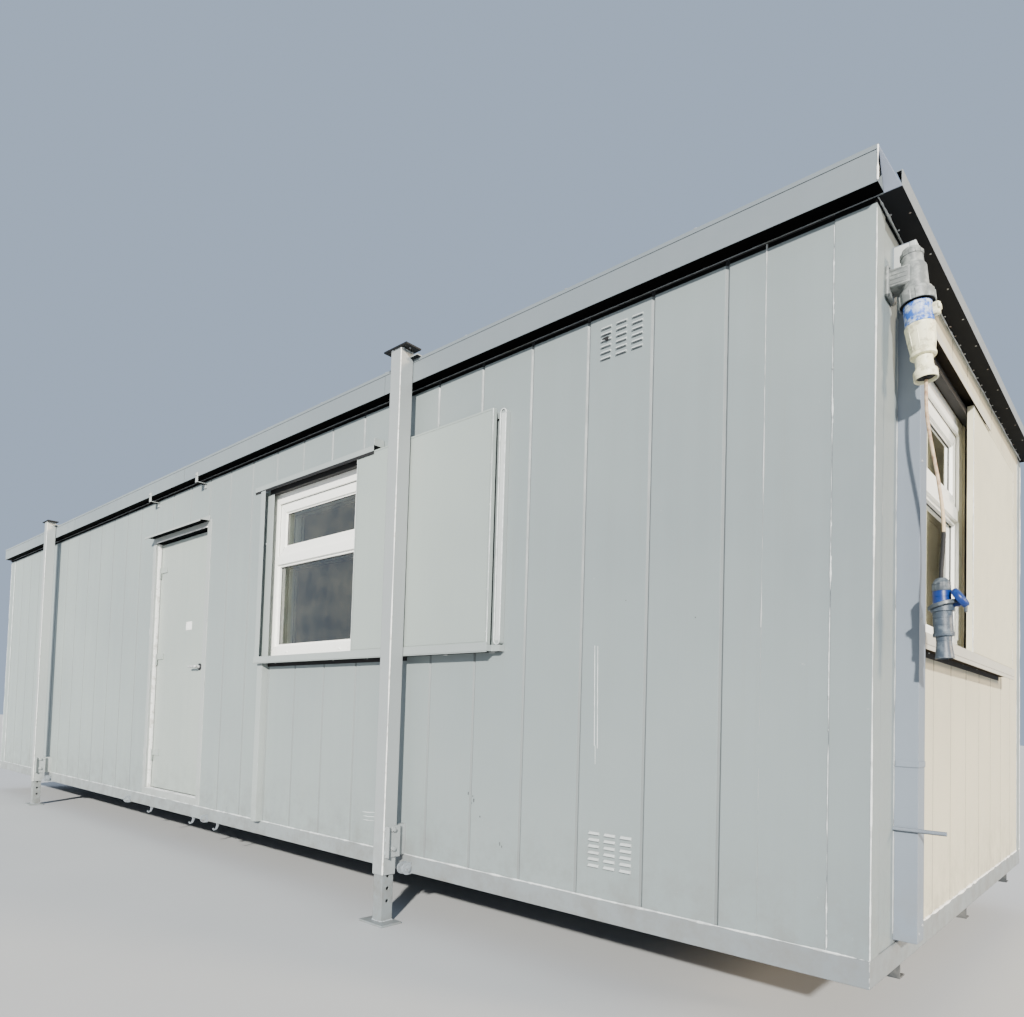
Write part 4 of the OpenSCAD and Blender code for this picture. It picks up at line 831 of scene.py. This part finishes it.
# Painted sunlight: the end shutter takes a paler, warmer copy of the shutter paint.
end_shutter_paint = site_paint("shutter_enamel_painted_sunlit", "#D6D0B6", 0.5, 0.8)
finish(["shutter_front"], front_shutter_paint)
finish(["shutter_end"], end_shutter_paint)
rim_section = [(0.0, 0.001), (0.0, -0.0002), (0.0012, -0.0010), (0.0085, -0.0010), (0.0100, -0.0002),
               (0.0100, 0.001)]
low, high, outer, rim_in, edge_in = 1.136, 2.242, -0.058, 0.014, 0.0004
for title, wall, left, wide, proud, paint, outward in (
        ("front_shutter", "front", 1.628, 1.046, 0.0022, front_shutter_paint, (0, -1, 0)),
        ("end_shutter", "end", 1.241, 1.090, 0.0040, end_shutter_paint, (1, 0, 0))):
    edges = (left + edge_in, left + wide - edge_in)
    corners = np.array([[left + rim_in, low + rim_in], [left + wide - rim_in, low + rim_in],
                        [left + wide - rim_in, high - rim_in], [left + rim_in, high - rim_in]])
    middle = corners.mean(axis=0)
    skin_rows = []
    for share, out in ((1.0, -0.0008), (1.0, 0.0003), (0.01, proud)):
        row = middle + share * (corners - middle)
        skin_rows.append(np.column_stack([row[:, 0], np.full(4, outer - out), row[:, 1]]))
    rim = around(wall, *edges, low + edge_in, high - edge_in, outer, rim_section)
    piece(title + "_skin", [on_wall(wall, np.stack(skin_rows)), rim], paint, title,
          smooth=False)
    rivet_row = [dome(on_wall(wall, [s, outer - 0.0008, z]), outward, 0.0042, 0.0020, 10)
                 for s in (left + 0.0055, left + wide - 0.0055)
                 for z in np.linspace(low + 0.06, high - 0.06, 6)]
    piece(title + "_rivets", rivet_row, seam_paint_and_highlight, title)
    # Painted highlight: a pale bead down each upright edge of the shutter, where its fold catches the light.
    worn = [bead(on_wall(wall, [s, outer + 0.0004, low + 0.004]),
                 on_wall(wall, [s, outer + 0.0004, high - 0.004]), 0.0016, 180 + k, 0.02, 0.0, 0.3)
            for k, s in enumerate(edges)]
    piece(title + "_edge_painted_highlights", worn, bright_seam_and_highlight, title)

# SHUTTER TRACKS
# Folded bottom tracks, rain hoods, back guides and end channels, stitch-welded to the wall and painted over.
# The runners have rubbed the floor of each track bright.
# Painted shade: the tracks' downward faces are near black; the end wall's tracks take a paler, warmer copy of
# the paint as painted sunlight, with painted shade below.
track_paint = site_paint("track_enamel", "#939B9C", 0.7, 0.9, under="#0C0D0F")
finish(["shutter_tracks_front"], track_paint)
sunlit_end_track_paint = site_paint("track_enamel_painted_sunlit", "#C4C1B4", 0.7, 0.9, under="#3A332B")
finish(["shutter_tracks_end"], sunlit_end_track_paint)
far_s, near_s = (near_x - corner.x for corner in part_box("shutter_tracks_front"))
rubbed = weathered("rubbed_steel_track", "#8C8E8E", "#6C5F53", 0.3, 60, 0.6)
floor_z, fold_y, fold_z = (1.1352, 1.13585), (-0.0649, -0.0628), 1.1062
# Painted shade: black strips under each hood, on the end wall beside the window behind the end shutter, under
# each bottom track and under the front hood's lip.
for name, material, strips in (
        ("track_wear_strips", rubbed, [("front", (near_s + 0.1, far_s - 0.1), (-0.052, -0.040), floor_z),
                                       ("end", (0.40, 2.30), (-0.052, -0.040), floor_z)]),
        ("track_painted_shade_strips", black_rubber_and_shade, [("front", (1.700, 3.6565), (-0.029, 0.003), (2.207, 2.2386)),
                                             ("end", (0.369, 2.312), (-0.029, 0.003), (2.207, 2.2386)),
                                             ("end", (1.4015, 1.575), (0.001, 0.0038), (1.140, 2.206))]),
        ("track_painted_shade_under", black_rubber_and_shade, [("front", (2.26, 3.712), (0.0044, 0.0008), (1.084, 1.1058)),
                                         ("end", (0.42, 2.30), (0.0044, 0.0008), (1.084, 1.1058))]),
        ("track_lip_fold_front", track_paint, [("front", (near_s + 0.0495, far_s - 0.0665), fold_y,
                                                (fold_z - 0.0056, fold_z))]),
        ("track_lip_fold_end", sunlit_end_track_paint, [("end", (0.3705, 2.336), fold_y, (fold_z - 0.0186, fold_z))]),
        ("stop_bar_painted_highlight", seam_paint_and_highlight, [("front", (1.583, 1.609), (-0.0216, -0.0200), (1.156, 2.221))]),
        ("hood_lip_painted_shade", black_rubber_and_shade, [("front", (2.523, 3.783), (-0.0640, -0.0602), (2.2215, 2.2368))])):
    piece(name, [strip(*where) for where in strips], material, smooth=False)
# Painted highlight: the pale strip down the stop bar's face and the bright tubes round its lips, with some
# edge wear.
rounds = np.linspace(0, np.pi, 20)
arc = 0.0168 * np.column_stack([np.cos(rounds), np.sin(rounds)])
lip_path = np.concatenate([[1.596, 2.2216] + arc, [1.596, 1.1556] - arc])
lip_path = np.insert(np.concatenate([lip_path, lip_path[:1]]), 1, -0.0254, axis=1)
piece("stop_bar_lip_painted_highlights", [tube(on_wall("front", lip_path), 0.0029, 8)], bright_seam_and_highlight)
knob = dome(on_wall("front", [3.6865, -0.0283, 1.8895]), (0, -1, 0), 0.0075, 0.0060, 16)
piece("guide_knob", [knob], bright_seam_and_highlight)
stitch = []
for wall, first, last, pitch, long, depth, z, thick, seed in (
        ("front", near_s + 0.06, far_s - 0.06, 0.32, 0.032, 0.0035, 1.1048, 0.0030, 120),
        ("end", 0.40, 2.30, 0.32, 0.032, 0.0035, 1.1048, 0.0030, 120),
        ("front", 2.56, 3.75, 0.24, 0.028, 0.0032, 2.3025, 0.0028, 140),
        ("end", 0.40, 1.56, 0.24, 0.028, 0.0032, 2.3025, 0.0028, 150)):
    for k, s in enumerate(np.arange(first, last, pitch)):
        start, end = on_wall(wall, [[s, depth, z], [s + long, depth, z]])
        stitch.append(bead(start, end, thick, seed + k, 0.003, 0.0003, 0.5))
piece("track_stitch_welds", stitch, seam_paint_and_highlight)

# VENTS
# Two panels of louvres pressed out of the front sheet, open along their lower edges, painted paler than
# the wall for the dust on them and as painted light on their sloping faces. One louvre of the upper panel
# has been knocked in.
finish(["vents"], site_paint("vent_enamel", "#BFC6C7", 1.0, 0.9))
slots = []
for up in (2.310, 0.208):
    for s in 0.868 + 0.076 * np.arange(3):
        for z in up + 0.026 * np.arange(6):
            a, b = s + 0.003, s + 0.047
            slots.append(on_wall("front",
                                 [[[a, d, z + low], [b, d, z + low], [b, d, z + high], [a, d, z + high]]
                                  for d, low, high in ((0.0044, -0.0007, 0.0010),
                                                       (-0.0040, 0.0018, 0.0034))]))
slot_paint = weathered("vent_shadow_paint", "#5A5F62", "#6C7073", 0.8)
piece("vent_slots", slots, slot_paint, smooth=False)
t = np.linspace(0, 2 * np.pi, 14, endpoint=False)
ragged = 1 + 0.22 * np.sin(3 * t + 0.6) + 0.12 * np.cos(5 * t)
# Painted shade: a ragged black patch over the knocked-in louvre stands for the dark hole behind it.
torn = [on_wall("front",
                np.column_stack([1.043 + 0.015 * ragged * np.cos(t) + 0.004 * np.sin(t), np.full(14, d),
                                 2.3965 + 0.0075 * ragged * np.sin(t)])) for d in (0.002, -0.0058)]
piece("vent_torn_louvre_painted_shade", [np.stack(torn)], black_rubber_and_shade, smooth=False)

# LASHING EYES
# Flame-cut plates and hooks welded under the rail at the doorway, and pinned lugs at each leg. Paint has
# worn off their edges and they rust.
lug_steel, place = blank("rusting_lug_steel")
flake = node(lug_steel, "TexNoise", {"Vector": place, "Scale": 42, "Detail": 12, "Roughness": 0.72})
bare = node(lug_steel, "MapRange", {0: flake, 1: 0.56, 2: 0.64})
rust_tone = node(lug_steel, "TexNoise", {"Vector": place, "Scale": 160, "Detail": 6})
rust_tone = node(lug_steel, "Mix", {0: rust_tone, 6: rgb("#33291F"), 7: rgb("#5A4231")}, data_type="RGBA")
lug_tone = node(lug_steel, "Mix", {0: bare, 6: rgb("#868D92"), 7: rust_tone}, data_type="RGBA")
lug_rough = node(lug_steel, "MapRange", {0: bare, 3: 0.48, 4: 0.85})
lug_relief = node(lug_steel, "Bump", {"Height": flake, "Distance": 0.0008})
lug_face = node(lug_steel, "BsdfPrincipled", {"Base Color": lug_tone, "Roughness": lug_rough,
                                              "Normal": lug_relief})
node(lug_steel, "OutputMaterial", {0: lug_face})
finish(["lashing_eyes"], lug_steel)

# CABLE DUCT
# Folded steel cover, 85 by 70 mm, over the supply cable, in two lengths lapped by a strap, with a threaded
# bar pushed through it and a grey moulded junction box on top.
# Painted shade: the duct's downward faces are drawn darker.
finish(["cable_duct"], site_paint("duct_enamel", "#7B8591", 0.7, 0.8, under="#3C4043"))
duct_s, duct_wide, duct_out = 0.265, 0.085, 0.070
duct_marks = [bead(on_wall("end", [s, 0.0032, 0.12]), on_wall("end", [s, 0.0032, 2.23]), thick, seed)
              for s, thick, seed in ((duct_s - 0.0012, 0.0024, 160),
                                     (duct_s + duct_wide + 0.0012, 0.0020, 161))]
duct_marks += [dome(on_wall("end", [s, -duct_out, z]), (1, 0, 0), 0.0052, 0.0030)
               for s, z in ((0.285, 0.13), (0.332, 0.15), (0.287, 1.18), (0.331, 2.06), (0.286, 1.72))]
piece("duct_beads_and_rivets", duct_marks, seam_paint_and_highlight)
bar_at = on_wall("end", [duct_s - 0.007, 0.0, 0.472])
bar_end = [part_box("cable_duct")[1].x - 0.0003, bar_at[1], bar_at[2]]
thread = tube(np.linspace(bar_at, bar_end, 150), 0.0068 + 0.0005 * np.cos(np.arange(150) * np.pi), 12)
bar_steel = weathered("dark_threaded_steel", "#3D4146", "#5A463A", 0.45, 60, 0.7)
piece("duct_threaded_bar", [thread], bar_steel)
box_s, box_z, lid_thick = 0.1995, 2.3515, 0.0195
box_low, box_high = on_wall("end", [box_s, 0.0038, box_z]), on_wall("end", [0.2925, -0.0668, 2.4525])
lid_low = [box_high[0] - lid_thick, box_low[1] - 0.0008, box_low[2] - 0.0008]
junction = [slab(box_low, box_high - [0.018, 0, 0], 0.004),
            slab(lid_low, box_high + [0, 0.0008, 0.0008], 0.003)]
screw_well = np.array([(-1, 5.5), (0.8, 5.5), (1, 4.8), (0.2, 4)]) / 1000
junction += [turned(screw_well, [box_high[0], front_y + box_s + dy, rail_z + box_z + dz], (1, 0, 0), 16)
             for dy in (0.010, 0.083) for dz in (0.010, 0.091)]
box_gland = np.array([(-2, 14.5), (5, 14.5), (5.5, 12), (16, 11.5), (16.5, 12.5), (24, 11.8), (26, 9)]) / 1000
junction.append(turned(box_gland, on_wall("end", [0.280, -0.030, 2.352]), (0, 0, -1), 24))
box_plastic = weathered("grey_box_polycarbonate", "#B9BDBB", "#A5A9A8", 0.4, 22, 0.5)
piece("junction_box", junction, box_plastic)

# POWER INLET
# Grey moulded appliance inlet that points down at 6 degrees: a wall box with ribbed sides, an angled neck,
# the cable gland above, the round body and a wide flange with notches that the coupler's latch closes on.
up_run = -inlet_run
shell = [slab(on_wall("end", [0.098, 0.0045, 2.236]), on_wall("end", [0.188, -0.0105, 2.340]), 0.006),
         slab(on_wall("end", [0.108, -0.004, 2.262]), on_wall("end", [0.182, -0.0705, 2.326]), 0.005)]
for z in 2.272 + 0.0145 * np.arange(4):
    shell.append(slab(on_wall("end", [0.1068, -0.012, z]), on_wall("end", [0.1832, -0.062, z + 0.0045]),
                      0.0011))
for s, z in ((0.104, 2.245), (0.182, 2.245), (0.104, 2.331), (0.182, 2.331)):
    shell.append(dome(on_wall("end", [s, -0.0105, z]), (1, 0, 0), 0.0046, 0.0028, 14))
barrel = np.array([(-0.5, 40.5), (29, 40.5), (29.5, 40), (108, 40), (112, 38.8), (119, 35), (120.5, 33.5),
                   (150, 33), (150.2, 34.5), (151, 35.2), (163, 35.2), (164.3, 34), (165, 31.2),
                   (170.5, 29.5), (177.5, 27.2), (178.5, 25.5), (178.6, 12.5), (176, 12)]) / 1000
shell.append(turned(barrel, inlet_at, up_run, 56))
flange = np.array([(-8, 2), (-8, 51.2), (-15.8, 51.5), (-16.2, 54), (-15, 55.2), (16.5, 55.2), (18, 53.5),
                   (18.2, 48.8), (29, 48.2), (30.2, 47), (30.2, 40.2)]) / 1000
flange_skin = turned(flange, inlet_at, up_run, 120)
t = np.linspace(0, 2 * np.pi, 120, endpoint=False)
notch = 1 - 0.045 * (np.cos(8 * t) > 0.62)[None, :, None] * np.isin(np.arange(11), (4, 5, 6))[:, None, None]
axis_line = inlet_at + flange[:, 0, None, None] * up_run
shell.append(axis_line + (flange_skin - axis_line) * notch)
for k in range(12):
    angle = k * math.pi / 6
    outward = np.array([math.cos(angle), math.sin(angle), 0.0]) @ tilt(-lean).T
    heights = np.linspace(0.1505, 0.1635, 4)
    shell.append(tube(inlet_at + heights[:, None] * up_run + 0.0350 * outward, 0.0014, 6))
inlet_made = piece("power_inlet_body", shell,
                   weathered("grey_inlet_polyamide", "#6B6F6E", "#8B8F8C", 0.4, 34, 0.7))
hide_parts("power_inlet")
# Painted shade: black rings inside the flange mouth and the gland stand for the shade in those hollows.
mouth_bore = np.array([(-7.9, 51.1), (-8.4, 51.1), (-8.5, 2)]) / 1000
gland_bore = np.array([(176.8, 12.2), (178.6, 11.8), (178.7, 0.4)]) / 1000
piece("power_inlet_bore_painted_shade", [turned(mouth_bore, inlet_at, up_run), turned(gland_bore, inlet_at, up_run, 20)],
      black_rubber_and_shade)

# STUDIO
# A plain pale floor, a key light low on the sunny side, two soft fill lights, an even pale sky and a soft
# light inside the room.
pale, place = blank("pale_studio_floor")
cloud = node(pale, "TexNoise", {"Vector": place, "Scale": 0.8, "Detail": 4})
pale_tone = node(pale, "Mix", {0: cloud, 6: rgb("#AEB0B1"), 7: rgb("#B8B9B9")}, data_type="RGBA")
node(pale, "OutputMaterial", {0: node(pale, "BsdfPrincipled", {"Base Color": pale_tone, "Roughness": 0.85})})
spread = np.linspace(-60, 60, 3)
ground_grid = np.stack(np.meshgrid(spread, spread, indexing="ij") + [np.zeros((3, 3))], axis=-1)
ground = bpy.data.meshes.new("studio_floor")
ground.from_pydata(ground_grid.reshape(-1, 3).tolist(), [], [(k, k + 3, k + 4, k + 1) for k in (0, 1, 3, 4)])
studio_floor = bpy.data.objects.new("studio_floor", ground)
bpy.context.scene.collection.objects.link(studio_floor)
ground.materials.append(pale)
sky = bpy.data.worlds.new("soft_sky")
sky.use_nodes = True
sky.node_tree.nodes["Background"].inputs[0].default_value = rgb("#B7CAE4")
sky.node_tree.nodes["Background"].inputs[1].default_value = 0.85
bpy.context.scene.world = sky
for title, turn_z, climb, power, width, tint in (("key", 36, 22, 9.4, 2, "#FFFBF3"),
                                                 ("side", 112, 16, 3.8, 12, "#FFE6C2"),
                                                 ("back", 205, 35, 1.1, 30, "#EAF0FF")):
    sun = bpy.data.lights.new(title, "SUN")
    sun.energy, sun.angle, sun.color = power, math.radians(width), rgb(tint)[:3]
    lamp = bpy.data.objects.new(title, sun)
    bpy.context.scene.collection.objects.link(lamp)
    lamp.rotation_euler = (math.radians(90 - climb), 0, math.radians(turn_z))
room_light = bpy.data.lights.new("room", "AREA")
room_light.shape, room_light.size, room_light.size_y, room_light.energy = "RECTANGLE", 8.0, 1.8, 22.0
room_lamp = bpy.data.objects.new("room", room_light)
bpy.context.scene.collection.objects.link(room_lamp)
room_lamp.location = ((near_x + far_x) / 2, 0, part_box("ceiling")[0].z - 0.03)
room_lamp.visible_camera = False
